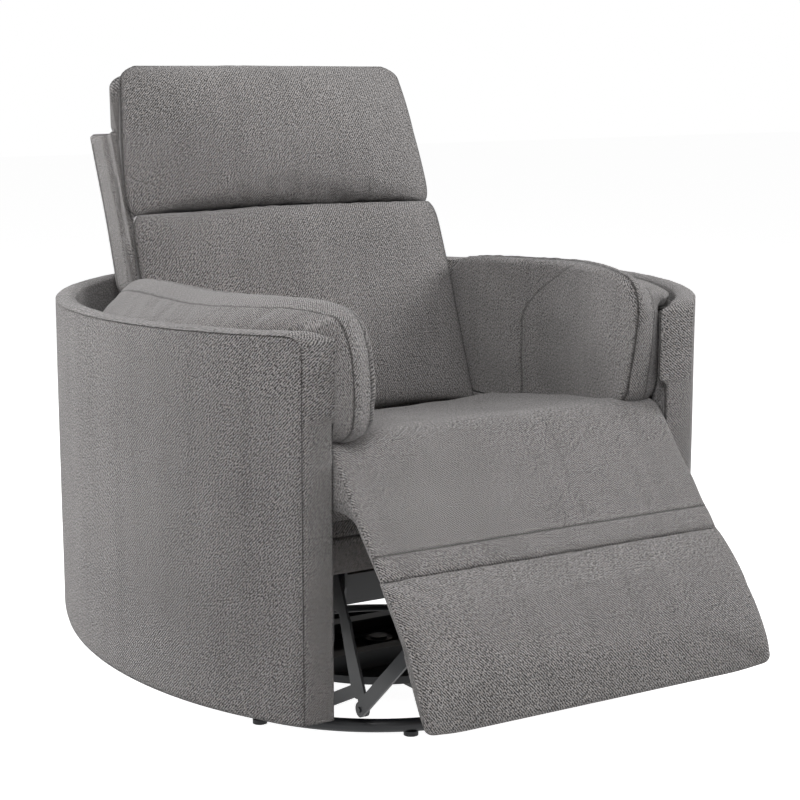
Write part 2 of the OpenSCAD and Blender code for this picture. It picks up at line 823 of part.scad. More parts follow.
// Plan of the back shell at a depth of skin inside its outer face
module shell_plan(skin) {
    r = shell_r - skin;
    w = shell_half - skin;
    rear = shell_front - shell_t + skin;
    front = skin > 0 ? over : shell_front;
    sweep = (pow(w - r, 2) + pow(shell_crown, 2)) / 2 / shell_crown;
    union() {
        translate([-w, rear + r]) square([2 * w, front - rear - r]);
        translate([-w + r, rear]) square([2 * (w - r), r + plate_t]);
        for (s = [-1, 1]) translate([s * (w - r), rear + r]) circle(r = r);
        intersection() {
            translate([0, rear - shell_crown + sweep]) circle(r = sweep, $fn = 256);
            translate([-w + r, rear - shell_crown]) square([2 * (w - r), shell_crown + plate_t]);
        }
    }
}

module back_shell() {
    color(fabric) on_back() rotate([90, 0, 0]) mirror([0, 0, 1]) {
        translate([0, 0, shell_low]) linear_extrude(shell_top - shell_low - shell_wall) difference() {
            shell_plan(0);
            shell_plan(shell_wall);
        }
        translate([0, 0, shell_top - shell_wall]) linear_extrude(shell_wall) shell_plan(0);
    }
}

// Steel arms from the recline pins up the sides of the back's posts
module back_arms() {
    color(black) both_sides() on_back() translate([drag_x, 0, 0]) rotate([90, 0, 90]) linear_extrude(plate_t)
        difference() {
            bar([0, 0], [arm_plate_l, 0], link_w);
            circle(r = pin_pitch_r + fit);
        }
}

module back_posts() {
    color(timber) both_sides() on_back()
        translate([drag_x + plate_t, 2 * link_w, shell_front - back_post_t - plate_t / 4])
            cube([back_post_w, shell_top - shell_wall - 2 * link_w - plate_t / 4, back_post_t]);
}

module back_slats() {
    top = shell_top - shell_wall - plate_t / 4;
    color(timber) on_back() for (y = [3 * link_w, crease - slat_h, top - slat_h])
        translate([-drag_x, y, shell_front - rail_t + seat_gap]) cube([2 * drag_x, slat_h, rail_t]);
}

// Back cushions, drawn in side view as shares of their length and thickness, front up
function shape_of(shares, l0, l1, t0, t1) = [for (q = shares) [mix(l0, l1, q[0]), mix(t0, t1, q[1])]];

module lumbar_cushion() {
    pad_shares = [[0.02, 0], [0.5, 0], [0.98, 0], [1, 0.12], [0.985, 0.5], [0.9, 0.84], [0.66, 1], [0.4, 0.98],
        [0.16, 0.84], [0.03, 0.52], [0, 0.12]];
    color(fabric) on_back() cushion(pillow_half,
        shape_of(pad_shares, 2 * link_w, crease - 1, shell_front + 1, lumbar_front),
        [crease / 2, shell_front + 1], [0.05, 0.74], 0.2, 5,
        [0, crease - seat_gap, shell_front + 2 * seat_gap, far_off]);
}

module head_pillow() {
    head_shares = [[0.02, 0], [0.3, 0], [0.58, 0], [0.8, 0], [0.95, 0.02], [1, 0.2],
        [0.99, 0.5], [0.93, 0.78], [0.75, 0.95], [0.48, 1], [0.22, 0.92], [0.05, 0.68], [0, 0.4]];
    color(fabric) on_back() cushion(pillow_half,
        shape_of(head_shares, crease + 1, head_top, shell_front + 1, head_front),
        [mix(crease, head_top, 0.42), shell_front + 1], [0.22, 0.7], 0.1, 5,
        [crease + seat_gap, far_off, shell_front + 2 * seat_gap, far_off]);
}

module on_footrest() {
    translate([0, -crease_y, crease_z]) rotate([180 + pad_pitch, 0, 0]) children();
}

module footrest_board() {
    color(timber) on_footrest() translate([-drag_x, board_t, pad_t + seat_gap])
        cube([2 * drag_x, pad_l - 3 * board_t, board_t]);
}

// Steel brackets on the board's ends, with the pins that the coupler links hang on
module footrest_brackets() {
    c = cos(pad_pitch);
    s = sin(pad_pitch);
    dy = -(toe_y - crease_y);
    dz = toe_z - crease_z;
    toe = [-dy * c - dz * s, dy * s - dz * c];
    color(black) both_sides() on_footrest() {
        translate([drag_x, 0, 0]) rotate([90, 0, 90]) linear_extrude(plate_t) union() {
            translate([2 * board_t, pad_t + plate_t / 2]) square([pad_l / 2, 1.5 * board_t]);
            translate(toe) circle(d = link_w);
        }
        translate([drag_x - 2 * rail_t, 2 * board_t, pad_t + seat_gap + board_t])
            cube([2 * rail_t, pad_l / 2, plate_t / 2]);
        translate([drag_x, toe[0], toe[1]]) rotate([0, 90, 0])
            cylinder(r = link_pin_r, h = coupler_x - drag_x + 1.5 * plate_t);
    }
}

module footrest_pad() {
    pad_shares = [[0.004, 0.3], [0.02, 0.08], [0.14, -0.07], [0.5, -0.14], [0.86, -0.08], [0.98, 0.02],
        [1, 0.2],
        [0.97, 0.55], [0.9, 0.86], [0.8, 0.965], [0.5, 0.985], [0.14, 0.965], [0.04, 0.88], [0.006, 0.68]];
    color(fabric) on_footrest() cushion(seat_half + plate_t / 2, shape_of(pad_shares, 1, pad_l, 0, pad_t),
        [pad_l / 2, pad_t * 0.3], [0.03, 0.6], 0.01, 7);
}

module footrest_flap() {
    deep = flap_t * 0.9;
    start = deep * tan(fold_bevel);
    outline = [[2.5, 1], [flap_l * 0.3, 0], [flap_l * 0.7, 0], [flap_l - 1.7, 2], [flap_l - 0.3, 10],
        [flap_l - 8, deep - 4],
        [flap_l * 0.8, deep], [flap_l * 0.5, deep], [start + 10, deep], [start + 3, deep - 4],
        [start * 0.5 + 3, deep * 0.5], [6, 6.5]];
    color(fabric) translate([0, -fold_y, fold_z]) rotate([180 + flap_pitch, 0, 0])
        cushion(seat_half, outline, [flap_l / 2, deep * 0.1], [0.01, 0.6], 0);
}

// Drag links: a tapered arm from the fixed pivot to the knee, with a short drive arm to the rear
module drag_links() {
    drag = [-drag_y, drag_z];
    knee = [-knee_y, knee_z];
    elbow = mix(knee, drag, 0.12) + [link_w / 2, 0];
    heel = elbow + [4.3 * link_w, -2.1 * link_w];
    color(black) both_sides() side_plate(drag_x, plate_t) difference() {
        union() {
            bar(knee, drag, link_w);
            bar(elbow, mix(knee, drag, 0.6), link_w * 1.2);
            bar(elbow, heel, link_w * 0.85);
        }
        translate(drag) circle(r = pin_pitch_r + fit);
        translate(knee) circle(r = link_pin_r + fit);
        translate(heel) circle(r = link_pin_r + fit);
    }
}

module knee_pins() {
    color(steel) both_sides() pin(drag_x - side_gap / 2, coupler_x + 1.5 * plate_t, [-knee_y, knee_z],
        link_pin_r);
}

module coupler_links() {
    knee = [-knee_y, knee_z];
    toe = [-toe_y, toe_z];
    color(black) both_sides() side_plate(coupler_x, plate_t) difference() {
        bar(knee, toe, link_w);
        translate(knee) circle(r = link_pin_r + fit);
        translate(toe) circle(r = link_pin_r + seat_gap);
    }
}

module placed() {
    translate([0, stand_back, 0]) children();
}

placed() base_ring();
placed() ring_feet();
placed() base_spokes();
placed() hub_plate();
placed() hub_bolts();
placed() lower_race();
placed() bearing_balls();
placed() pivot_post();
placed() post_washer();
placed() turntable_plate();
placed() upper_race();
placed() swivel_bush();
placed() glider_side_left();
placed() glider_side_right();
placed() glider_channels();
placed() upper_glide_pins();
placed() glide_links_front();
placed() glide_links_rear();
placed() carriage_plate_left();
placed() carriage_plate_right();
placed() carriage_tubes();
placed() lower_glide_pins();
placed() slide_tracks();
placed() barrel_left();
placed() barrel_right();
placed() barrel_rear();
placed() front_band_left();
placed() front_band_right();
placed() arm_panel_left();
placed() arm_panel_right();
placed() arm_shelves_left();
placed() arm_shelves_right();
placed() rear_tie_board();
placed() arm_pillow_left();
placed() arm_pillow_right();
placed() slide_runners();
placed() seat_plate_left();
placed() seat_plate_right();
placed() footrest_cross_rail();
placed() seat_front_rail();
placed() seat_rear_rail();
placed() seat_side_rails();
placed() seat_springs();
placed() front_panel();
placed() seat_cushion();
placed() mechanism_pins();
placed() back_arms();
placed() back_posts();
placed() back_slats();
placed() back_shell();
placed() lumbar_cushion();
placed() head_pillow();
placed() footrest_board();
placed() footrest_brackets();
placed() footrest_pad();
placed() footrest_flap();
placed() drag_links();
placed() knee_pins();
placed() coupler_links();
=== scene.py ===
"""Looks of the swivel glider recliner: upholstery, steel base and mechanism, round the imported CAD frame.

Shapes are worked out in millimetres about the swivel axis, with +Z up, the front at -Y and the sitter's
left at +X, and are moved into the frame's metres by new_skin().
"""
import json

import bpy
import numpy as np
from bpy.props import FloatProperty, FloatVectorProperty, IntProperty, PointerProperty
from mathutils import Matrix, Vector


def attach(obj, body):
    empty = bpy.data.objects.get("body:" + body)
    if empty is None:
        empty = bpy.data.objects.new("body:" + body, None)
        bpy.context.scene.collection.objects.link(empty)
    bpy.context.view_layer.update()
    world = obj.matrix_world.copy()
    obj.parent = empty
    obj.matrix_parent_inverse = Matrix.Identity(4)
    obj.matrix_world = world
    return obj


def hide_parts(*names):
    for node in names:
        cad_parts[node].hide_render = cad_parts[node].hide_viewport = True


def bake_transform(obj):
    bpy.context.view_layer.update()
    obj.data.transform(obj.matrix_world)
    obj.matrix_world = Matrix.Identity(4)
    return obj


bl_info = {
    "name": "Swivel glider recliner",
    "version": (1, 0, 0),
    "blender": (4, 5, 0),
    "location": "View3D > Sidebar > Recliner",
    "description": "Upholstery, steel base and studio for a round-backed swivel glider recliner",
    "category": "Object",
}

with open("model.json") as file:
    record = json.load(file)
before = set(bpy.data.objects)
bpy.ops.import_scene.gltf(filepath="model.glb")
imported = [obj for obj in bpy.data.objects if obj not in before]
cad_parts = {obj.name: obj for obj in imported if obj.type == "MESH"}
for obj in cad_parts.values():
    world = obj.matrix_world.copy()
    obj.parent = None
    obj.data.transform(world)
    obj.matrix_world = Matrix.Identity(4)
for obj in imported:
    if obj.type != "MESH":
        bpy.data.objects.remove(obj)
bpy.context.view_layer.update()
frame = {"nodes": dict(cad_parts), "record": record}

MM = 0.001
STAND_BACK = 45.4
SIDES = {"right": -1, "left": 1}

# Places shared by several pieces, in millimetres
BARREL_Y = 5
ARM_FRONT = -354.6
FOLD = np.array([-389.0, 401.0])
CREASE = np.array([-477.0, 301.0])
RECLINE = np.array([185.0, 350.0])
LEAN = np.radians(21)
PAD_PITCH = np.radians(55.7)
SEAT_FRONT = -330
SEAT_TOP = 470
SEAT_SLOPE = np.tan(np.radians(8.6))
ARM_CORNER = 18


# Sizes and colours


class ReclinerSizes(bpy.types.PropertyGroup):
    """The sizes and colours that a user would change."""

    barrel_r: FloatProperty(name="Barrel radius", description="Radius of the barrel's outer face",
                            default=0.493, min=0.47, max=0.51, unit="LENGTH")
    wall: FloatProperty(name="Barrel wall", description="Thickness of the padded barrel wall",
                        default=0.031, min=0.024, max=0.036, unit="LENGTH")
    arm_top: FloatProperty(name="Rim height", description="Height of the barrel's rim",
                           default=0.620, min=0.6, max=0.64, unit="LENGTH")
    seat_half: FloatProperty(name="Seat half width", description="Half of the seat cushion's width",
                             default=0.287, min=0.28, max=0.288, unit="LENGTH")
    back_half: FloatProperty(name="Back half width", description="Half of the back cushions' width",
                             default=0.286, min=0.276, max=0.287, unit="LENGTH")
    shell_half: FloatProperty(name="Back shell half width", description="Half the outside back's width",
                              default=0.290, min=0.28, max=0.292, unit="LENGTH")
    puff: FloatProperty(name="Puff", description="Furthest that a cushion swells when it is filled",
                        default=0.010, min=0.0, max=0.03, unit="LENGTH")
    fill_steps: IntProperty(name="Filling steps", description="Frames of the simulation that fills a cushion",
                            default=16, min=4, max=30)
    cloth: FloatVectorProperty(name="Cloth", description="Colour of the warmer yarn", subtype="COLOR",
                               default=(0.226, 0.2085, 0.198), min=0, max=1)
    cloth_cool: FloatVectorProperty(name="Cool yarn", description="Colour of the cooler yarn",
                                    subtype="COLOR", default=(0.196, 0.193, 0.196), min=0, max=1)
    black: FloatVectorProperty(name="Black paint", description="Colour of the painted steel", subtype="COLOR",
                               default=(0.007, 0.008, 0.010), min=0, max=1)
    zinc: FloatVectorProperty(name="Zinc plating", description="Colour of the plated pins and springs",
                              subtype="COLOR", default=(0.34, 0.34, 0.33), min=0, max=1)
    timber: FloatVectorProperty(name="Timber", description="Colour of the hidden frame", subtype="COLOR",
                                default=(0.42, 0.27, 0.14), min=0, max=1)
    floor: FloatVectorProperty(name="Floor", description="Colour of the studio floor", subtype="COLOR",
                               default=(0.7, 0.7, 0.7), min=0, max=1)


def sizes():
    return bpy.context.scene.recliner_sizes


# Numbers and surfaces


def ease(t):
    """Smooth step from 0 to 1: three t squared less two t cubed, with t held between 0 and 1."""
    t = np.clip(t, 0, 1)
    return t * t * (3 - 2 * t)


def mix(a, b, t):
    return a + (b - a) * t


def ridge(x, at, width):
    """A bump of height 1 at the place given, falling as a bell of that width."""
    return np.exp(-(((x - at) / width) ** 2))


def ripple(x, y, seed, scale, octaves=3):
    """Gentle unevenness between about -1 and 1: a sum of sine waves whose directions and phases come from a
    seeded draw, each octave half as long and half as high as the last."""
    rng = np.random.default_rng(seed)
    total = np.zeros(np.broadcast(x, y).shape)
    for octave in range(octaves):
        for _ in range(4):
            angle, phase = rng.uniform(0, 2 * np.pi, 2)
            wave = 2 * np.pi * 2**octave / scale * rng.uniform(0.7, 1.3)
            total += np.sin(wave * (x * np.cos(angle) + y * np.sin(angle)) + phase) * 0.5**octave / 4
    return total


def smooth_loop(points, count):
    """A closed Catmull-Rom curve through the points, sampled at equal steps of its length. Each span is the
    usual cubic blend of its own two points and their neighbours."""
    p = np.asarray(points, float)
    return resample(spline(np.vstack([p[-1:], p, p[:2]])), count)


def spline(p):
    """Catmull-Rom spans between the second point and the last but one, 24 steps to a span."""
    t = np.linspace(0, 1, 24, endpoint=False)[:, None]
    a, b, c, d = (p[k:len(p) - 3 + k, None] for k in range(4))
    return (0.5 * (2 * b + (c - a) * t + (2 * a - 5 * b + 4 * c - d) * t**2
                   + (3 * b - a - 3 * c + d) * t**3)).reshape(-1, p.shape[1])


def smooth_path(points, count):
    """An open Catmull-Rom curve from the first point to the last, sampled at equal steps of its length."""
    p = np.asarray(points, float)
    line = np.vstack([spline(np.vstack([p[:1], p, p[-1:]])), p[-1:]])
    at = np.concatenate([[0], np.cumsum(np.linalg.norm(np.diff(line, axis=0), axis=1))])
    return np.stack([np.interp(np.linspace(0, at[-1], count), at, line[:, k]) for k in range(2)], axis=1)


def resample(loop, count):
    """The closed loop walked at equal steps of its own length."""
    closed = np.vstack([loop, loop[:1]])
    length = np.concatenate([[0], np.cumsum(np.linalg.norm(np.diff(closed, axis=0), axis=1))])
    at = np.linspace(0, length[-1], count, endpoint=False)
    return np.stack([np.interp(at, length, closed[:, k]) for k in range(closed.shape[1])], axis=1)


def loop_length(loop):
    """Distance along a closed loop at each of its points, and the whole length."""
    step = np.linalg.norm(np.roll(loop, -1, axis=0) - loop, axis=1)
    return np.concatenate([[0], np.cumsum(step)[:-1]]), step.sum()


def near_place(loop, place, width):
    """How near each point of a closed loop is to a place, as a bell of that width along the loop."""
    at, whole = loop_length(loop)
    here = at[np.argmin(np.linalg.norm(loop - np.asarray(place, float), axis=1))]
    away = np.abs(at - here)
    away = np.minimum(away, whole - away)
    return np.exp(-((away / width) ** 2))


def unit(vectors):
    """The vectors at length one, along their last axis."""
    return vectors / np.maximum(np.linalg.norm(vectors, axis=-1, keepdims=True), 1e-6)


def pushed(rows, amount):
    """Moves each point out from the middle of its row by the amount, in millimetres."""
    return rows + unit(rows - rows.mean(1, keepdims=True)) * amount[..., None]


def along_normals(rows, amount):
    """Moves each point of a closed grid outwards along its normal, the cross product of the grid's two
    directions, by the amount in millimetres."""
    du = np.roll(rows, -1, axis=1) - np.roll(rows, 1, axis=1)
    dv = np.gradient(rows, axis=0)
    normal = unit(np.cross(du, dv))
    middle = rows.reshape(-1, 3).mean(0)
    if (normal * (rows - middle)).sum() < 0:
        normal = -normal
    return rows + normal * amount[..., None]


def corner_places(flat):
    """The flat cloth position of each quad's four corners, from that of each point of the grid."""
    beside = np.roll(flat, -1, axis=1)
    return np.stack([flat[:-1], beside[:-1], beside[1:], flat[1:]], axis=2)


def new_skin(name, rows, seam=None, wrap=True, ends="fan", material=None, weave=None):
    """A mesh on a grid of points: row i is one station and column j one place round it. wrap joins the last
    column to the first. ends closes the first and last rows: "fan" from their middle, and "ladder" by joining
    each point to the one that lies as far from the row's other end. The UV map is the distance walked along
    each way of the grid, in metres, so that a weave keeps its scale, or weave gives it for each corner. seam
    is an amount for each point, which the cloth material paints as shade along the seam."""
    rows = np.asarray(rows, float)
    n, m, _ = rows.shape
    points = rows.reshape(-1, 3)
    j = np.arange(m if wrap else m - 1)
    k = (j + 1) % m
    i = np.arange(n - 1)[:, None] * m
    quads = np.stack([i + j, i + k, i + m + k, i + m + j], axis=-1).reshape(-1, 4)
    ring = np.vstack([rows, rows[:1]])[:n]
    across = np.linalg.norm(np.roll(rows, -1, axis=1) - rows, axis=2).mean(0)
    u = np.concatenate([[0], np.cumsum(across)])
    v = np.concatenate([[0], np.cumsum(np.linalg.norm(np.diff(ring, axis=0), axis=2).mean(1))])
    ui, vi = np.broadcast_arrays(j, np.arange(n - 1)[:, None])
    steps = ((0, 0), (1, 0), (1, 1), (0, 1))
    uv = np.stack([np.stack([u[ui + a], v[vi + b]], -1) for a, b in steps], axis=2).reshape(-1, 2)
    if weave is not None:
        uv = weave.reshape(-1, 2)
    seam = 0.0 if seam is None else seam
    amounts = np.broadcast_to(seam, (n, m)).reshape(-1).astype(float)
    starts = np.arange(len(quads)) * 4
    corners = quads.reshape(-1)
    if ends == "ladder":
        half = m // 2
        j = np.arange(half - 1)
        low = np.stack([j, m - 1 - j, m - 2 - j, j + 1], axis=-1)
        caps = np.vstack([low, (low + (n - 1) * m)[:, ::-1]])
        starts = np.concatenate([starts, len(corners) + np.arange(len(caps)) * 4])
        corners = np.concatenate([corners, caps.reshape(-1)])
        uv = np.vstack([uv, points[caps][..., [2, 1]].reshape(-1, 2)])
    elif wrap:
        first, last = rows[0].mean(0), rows[-1].mean(0)
        points = np.vstack([points, first, last])
        amounts = np.append(amounts, [amounts[:m].mean(), amounts[-m:].mean()])
        low = np.stack([np.full(m, n * m), k, j], axis=-1)
        high = np.stack([np.full(m, n * m + 1), (n - 1) * m + j, (n - 1) * m + k], axis=-1)
        fans = np.vstack([low, high])
        flat = points[fans][..., [1, 2]].reshape(-1, 2)
        starts = np.concatenate([starts, len(corners) + np.arange(len(fans)) * 3])
        corners = np.concatenate([corners, fans.reshape(-1)])
        uv = np.vstack([uv, flat])
    points = (points + [0, STAND_BACK, 0]) * MM
    mesh = bpy.data.meshes.new(name)
    mesh.vertices.add(len(points))
    mesh.vertices.foreach_set("co", points.astype(np.float32).ravel())
    mesh.loops.add(len(corners))
    mesh.loops.foreach_set("vertex_index", corners.astype(np.int32))
    mesh.polygons.add(len(starts))
    mesh.polygons.foreach_set("loop_start", starts.astype(np.int32))
    mesh.update(calc_edges=True)
    mesh.validate()
    layer = mesh.uv_layers.new(name="weave")
    layer.data.foreach_set("uv", (uv * MM).astype(np.float32).ravel())
    # The seam amount, which the cloth material paints as shade along each seam
    mesh.attributes.new("seam", "FLOAT", "POINT").data.foreach_set("value", amounts.astype(np.float32))
    mesh.polygons.foreach_set("use_smooth", np.ones(len(mesh.polygons), bool))
    obj = bpy.data.objects.new(name, mesh)
    bpy.context.scene.collection.objects.link(obj)
    if signed_volume(obj) < 0:
        mesh.flip_normals()
    if material is not None:
        mesh.materials.append(material)
    return obj


def coords(obj):
    co = np.zeros(len(obj.data.vertices) * 3, np.float32)
    obj.data.vertices.foreach_get("co", co)
    return co.reshape(-1, 3).astype(float)


def set_coords(obj, co):
    obj.data.vertices.foreach_set("co", np.asarray(co, np.float32).ravel())
    obj.data.update()


def signed_volume(obj):
    """Six times the volume inside the faces: positive when they point outwards."""
    mesh = obj.data
    mesh.calc_loop_triangles()
    tri = np.zeros(len(mesh.loop_triangles) * 3, np.int32)
    mesh.loop_triangles.foreach_get("vertices", tri)
    t = coords(obj)[tri.reshape(-1, 3)]
    return float(np.einsum("ij,ij->i", t[:, 0], np.cross(t[:, 1], t[:, 2])).sum())


def fill(obj, held, cap, pressure=3.0):
    """Fills a cushion's cover by a short cloth simulation with inner pressure. held is the share, 0 to 1, by
    which each point keeps its place, such as along a seam. No point moves further than cap, in metres."""
    if cap <= 0:
        return
    before = coords(obj)
    group = obj.vertex_groups.new(name="held")
    for level in np.unique(np.round(held, 1)):
        where = np.nonzero(np.round(held, 1) == level)[0]
        if level > 0:
            group.add(where.tolist(), float(level), "REPLACE")
    cloth = obj.modifiers.new("filling", "CLOTH")
    s = cloth.settings
    s.quality = 5
    s.mass = 0.35
    s.tension_stiffness = s.compression_stiffness = 12
    s.shear_stiffness = 6
    s.bending_stiffness = 0.6
    s.use_pressure = True
    s.uniform_pressure_force = pressure
    s.vertex_group_mass = "held"
    s.effector_weights.gravity = 0
    cloth.collision_settings.use_collision = False
    scene = bpy.context.scene
    cloth.point_cache.frame_start, cloth.point_cache.frame_end = 1, sizes().fill_steps
    for step in range(1, sizes().fill_steps + 1):
        scene.frame_set(step)
    dg = bpy.context.evaluated_depsgraph_get()
    shown = obj.evaluated_get(dg)
    after = np.zeros(len(before) * 3, np.float32)
    shown.data.vertices.foreach_get("co", after)
    obj.modifiers.remove(cloth)
    obj.vertex_groups.remove(group)
    scene.frame_set(1)
    move = after.reshape(-1, 3).astype(float) - before
    far = np.linalg.norm(move, axis=1)
    move *= (np.minimum(far, cap) / np.maximum(far, 1e-9))[:, None]
    set_coords(obj, before + move)


def dress(obj, body, slot, *nodes, padded=None):
    """Puts a finished piece on its body, in place of its CAD nodes. Its slot is not used."""
    if body is not None:
        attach(obj, body)
    if nodes:
        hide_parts(*nodes)
    return obj


# Materials
# The twill's slant in radians, and the weave's ticks along and across it for each metre
TWILL_ANGLE = 0.82
TICKS_PER_METRE = (620.0, 260.0, 400.0)


def node_group(name, outputs, **amounts):
    """A node group that takes a Vector and the named amounts, and gives the named values."""
    tree = bpy.data.node_groups.new(name, "ShaderNodeTree")
    tree.interface.new_socket("Vector", in_out="INPUT", socket_type="NodeSocketVector")
    for label, value in amounts.items():
        socket = tree.interface.new_socket(label, in_out="INPUT", socket_type="NodeSocketFloat")
        socket.default_value = value
    for label in outputs:
        tree.interface.new_socket(label, in_out="OUTPUT", socket_type="NodeSocketFloat")
    return tree, tree.nodes.new("NodeGroupInput"), tree.nodes.new("NodeGroupOutput")


def math_node(tree, operation, a, b=None, c=None):
    node = tree.nodes.new("ShaderNodeMath")
    node.operation = operation
    for socket, value in zip(node.inputs, (a, b, c)):
        if value is None:
            continue
        if isinstance(value, (int, float)):
            socket.default_value = value
        else:
            tree.links.new(value, socket)
    return node.outputs[0]


def vector_node(tree, operation, a, b):
    node = tree.nodes.new("ShaderNodeVectorMath")
    node.operation = operation
    for socket, value in zip(node.inputs, (a, b)):
        if isinstance(value, tuple):
            socket.default_value = value
        elif value is not None:
            tree.links.new(value, socket)
    return node.outputs[0]


def noise_node(tree, vector, scale, detail=2.0, rough=0.5):
    node = tree.nodes.new("ShaderNodeTexNoise")
    node.inputs["Scale"].default_value = scale
    node.inputs["Detail"].default_value = detail
    node.inputs["Roughness"].default_value = rough
    tree.links.new(vector, node.inputs["Vector"])
    return node.outputs["Fac"]


def weave_group():
    """Woven chenille: slanting twill lines broken into short ticks, with flecks of lighter pile. Vector is in
    metres. Threads is the pattern about 0, and Height the same about 0.5."""
    tree, given, out = node_group("chenille_weave", ("Threads", "Height", "Hue"), Twill=0.5, Fleck=1.5)
    v = given.outputs["Vector"]
    turned = tree.nodes.new("ShaderNodeVectorRotate")
    turned.rotation_type = "Z_AXIS"
    turned.inputs["Angle"].default_value = TWILL_ANGLE
    tree.links.new(v, turned.inputs["Vector"])
    stretched = vector_node(tree, "MULTIPLY", turned.outputs[0], TICKS_PER_METRE)
    ticks = noise_node(tree, stretched, 1.0, 1.0, 0.5)
    wave = tree.nodes.new("ShaderNodeTexWave")
    wave.wave_type, wave.bands_direction, wave.wave_profile = "BANDS", "X", "SIN"
    wave.inputs["Scale"].default_value = 100.0
    wave.inputs["Distortion"].default_value = 2.4
    wave.inputs["Detail"].default_value = 1.0
    wave.inputs["Detail Scale"].default_value = 2.5
    tree.links.new(turned.outputs[0], wave.inputs["Vector"])
    flecks = noise_node(tree, v, 420.0, 2.0, 0.6)
    swing = math_node(tree, "SUBTRACT", wave.outputs["Fac"], 0.5)
    twill = math_node(tree, "MULTIPLY", swing, given.outputs["Twill"])
    both = math_node(tree, "ADD", ticks, flecks)
    tick = math_node(tree, "MULTIPLY", math_node(tree, "SUBTRACT", both, 1.0), given.outputs["Fleck"])
    threads = math_node(tree, "ADD", twill, tick)
    tree.links.new(threads, out.inputs["Threads"])
    tree.links.new(math_node(tree, "MULTIPLY_ADD", threads, 0.5, 0.5), out.inputs["Height"])
    tree.links.new(noise_node(tree, v, 240.0, 1.0, 0.5), out.inputs["Hue"])
    return tree


def drape_group():
    """How the pile lies: long faint streaks down the cloth, along the map's U, and broad cloudy patches.
    Shade is a factor about 1."""
    tree, given, out = node_group("pile_streaks", ("Shade",), Streak=0.5)
    v = given.outputs["Vector"]
    streaks = noise_node(tree, vector_node(tree, "MULTIPLY", v, (1.6, 34.0, 34.0)), 1.0, 2.0, 0.6)
    cloud = noise_node(tree, v, 7.0, 3.0, 0.55)
    both = math_node(tree, "SUBTRACT", math_node(tree, "ADD", streaks, cloud), 1.0)
    tree.links.new(math_node(tree, "MULTIPLY_ADD", both, given.outputs["Streak"], 1.0), out.inputs["Shade"])
    return tree


def wear_group():
    """Faint handling marks: broad cloudy patches with fine scratches. Mark is 0 to 1 and Height is 0 to 1."""
    tree, given, out = node_group("handling_marks", ("Mark", "Height"), Amount=0.5)
    v = given.outputs["Vector"]
    patches = noise_node(tree, v, 14.0, 4.0, 0.6)
    scratches = noise_node(tree, vector_node(tree, "MULTIPLY", v, (900.0, 60.0, 60.0)), 1.0, 2.0, 0.5)
    both = math_node(tree, "MULTIPLY", math_node(tree, "ADD", patches, scratches), 0.5)
    mark = math_node(tree, "MULTIPLY", both, given.outputs["Amount"])
    tree.links.new(mark, out.inputs["Mark"])
    tree.links.new(noise_node(tree, v, 700.0, 2.0, 0.5), out.inputs["Height"])
    return tree


def new_material(name):
    material = bpy.data.materials.new(name)
    material.use_nodes = True
    shader = material.node_tree.nodes["Principled BSDF"]
    return material, material.node_tree, shader


def use_group(tree, group, vector, **values):
    node = tree.nodes.new("ShaderNodeGroup")
    node.node_tree = bpy.data.node_groups[group]
    tree.links.new(vector, node.inputs["Vector"])
    for label, value in values.items():
        node.inputs[label].default_value = value
    return node


def colour_mix(tree, amount, a, b):
    node = tree.nodes.new("ShaderNodeMix")
    node.data_type = "RGBA"
    tree.links.new(amount, node.inputs["Factor"])
    for socket, value in ((node.inputs[6], a), (node.inputs[7], b)):
        if isinstance(value, tuple):
            socket.default_value = value
        else:
            tree.links.new(value, socket)
    return node.outputs[2]


def rgba(colour, factor=1.0):
    return tuple(min(1.0, c * factor) for c in colour) + (1.0,)


def bump(tree, shader, height, distance, strength=1.0):
    node = tree.nodes.new("ShaderNodeBump")
    node.inputs["Strength"].default_value = strength
    node.inputs["Distance"].default_value = distance
    tree.links.new(height, node.inputs["Height"])
    tree.links.new(node.outputs["Normal"], shader.inputs["Normal"])


def background_rays(tree):
    """1 for the rays that see the background as it is: camera, glossy and transmission rays."""
    path = tree.nodes.new("ShaderNodeLightPath")
    glassy = math_node(tree, "MAXIMUM", path.outputs["Is Glossy Ray"], path.outputs["Is Transmission Ray"])
    return math_node(tree, "MAXIMUM", path.outputs["Is Camera Ray"], glassy)


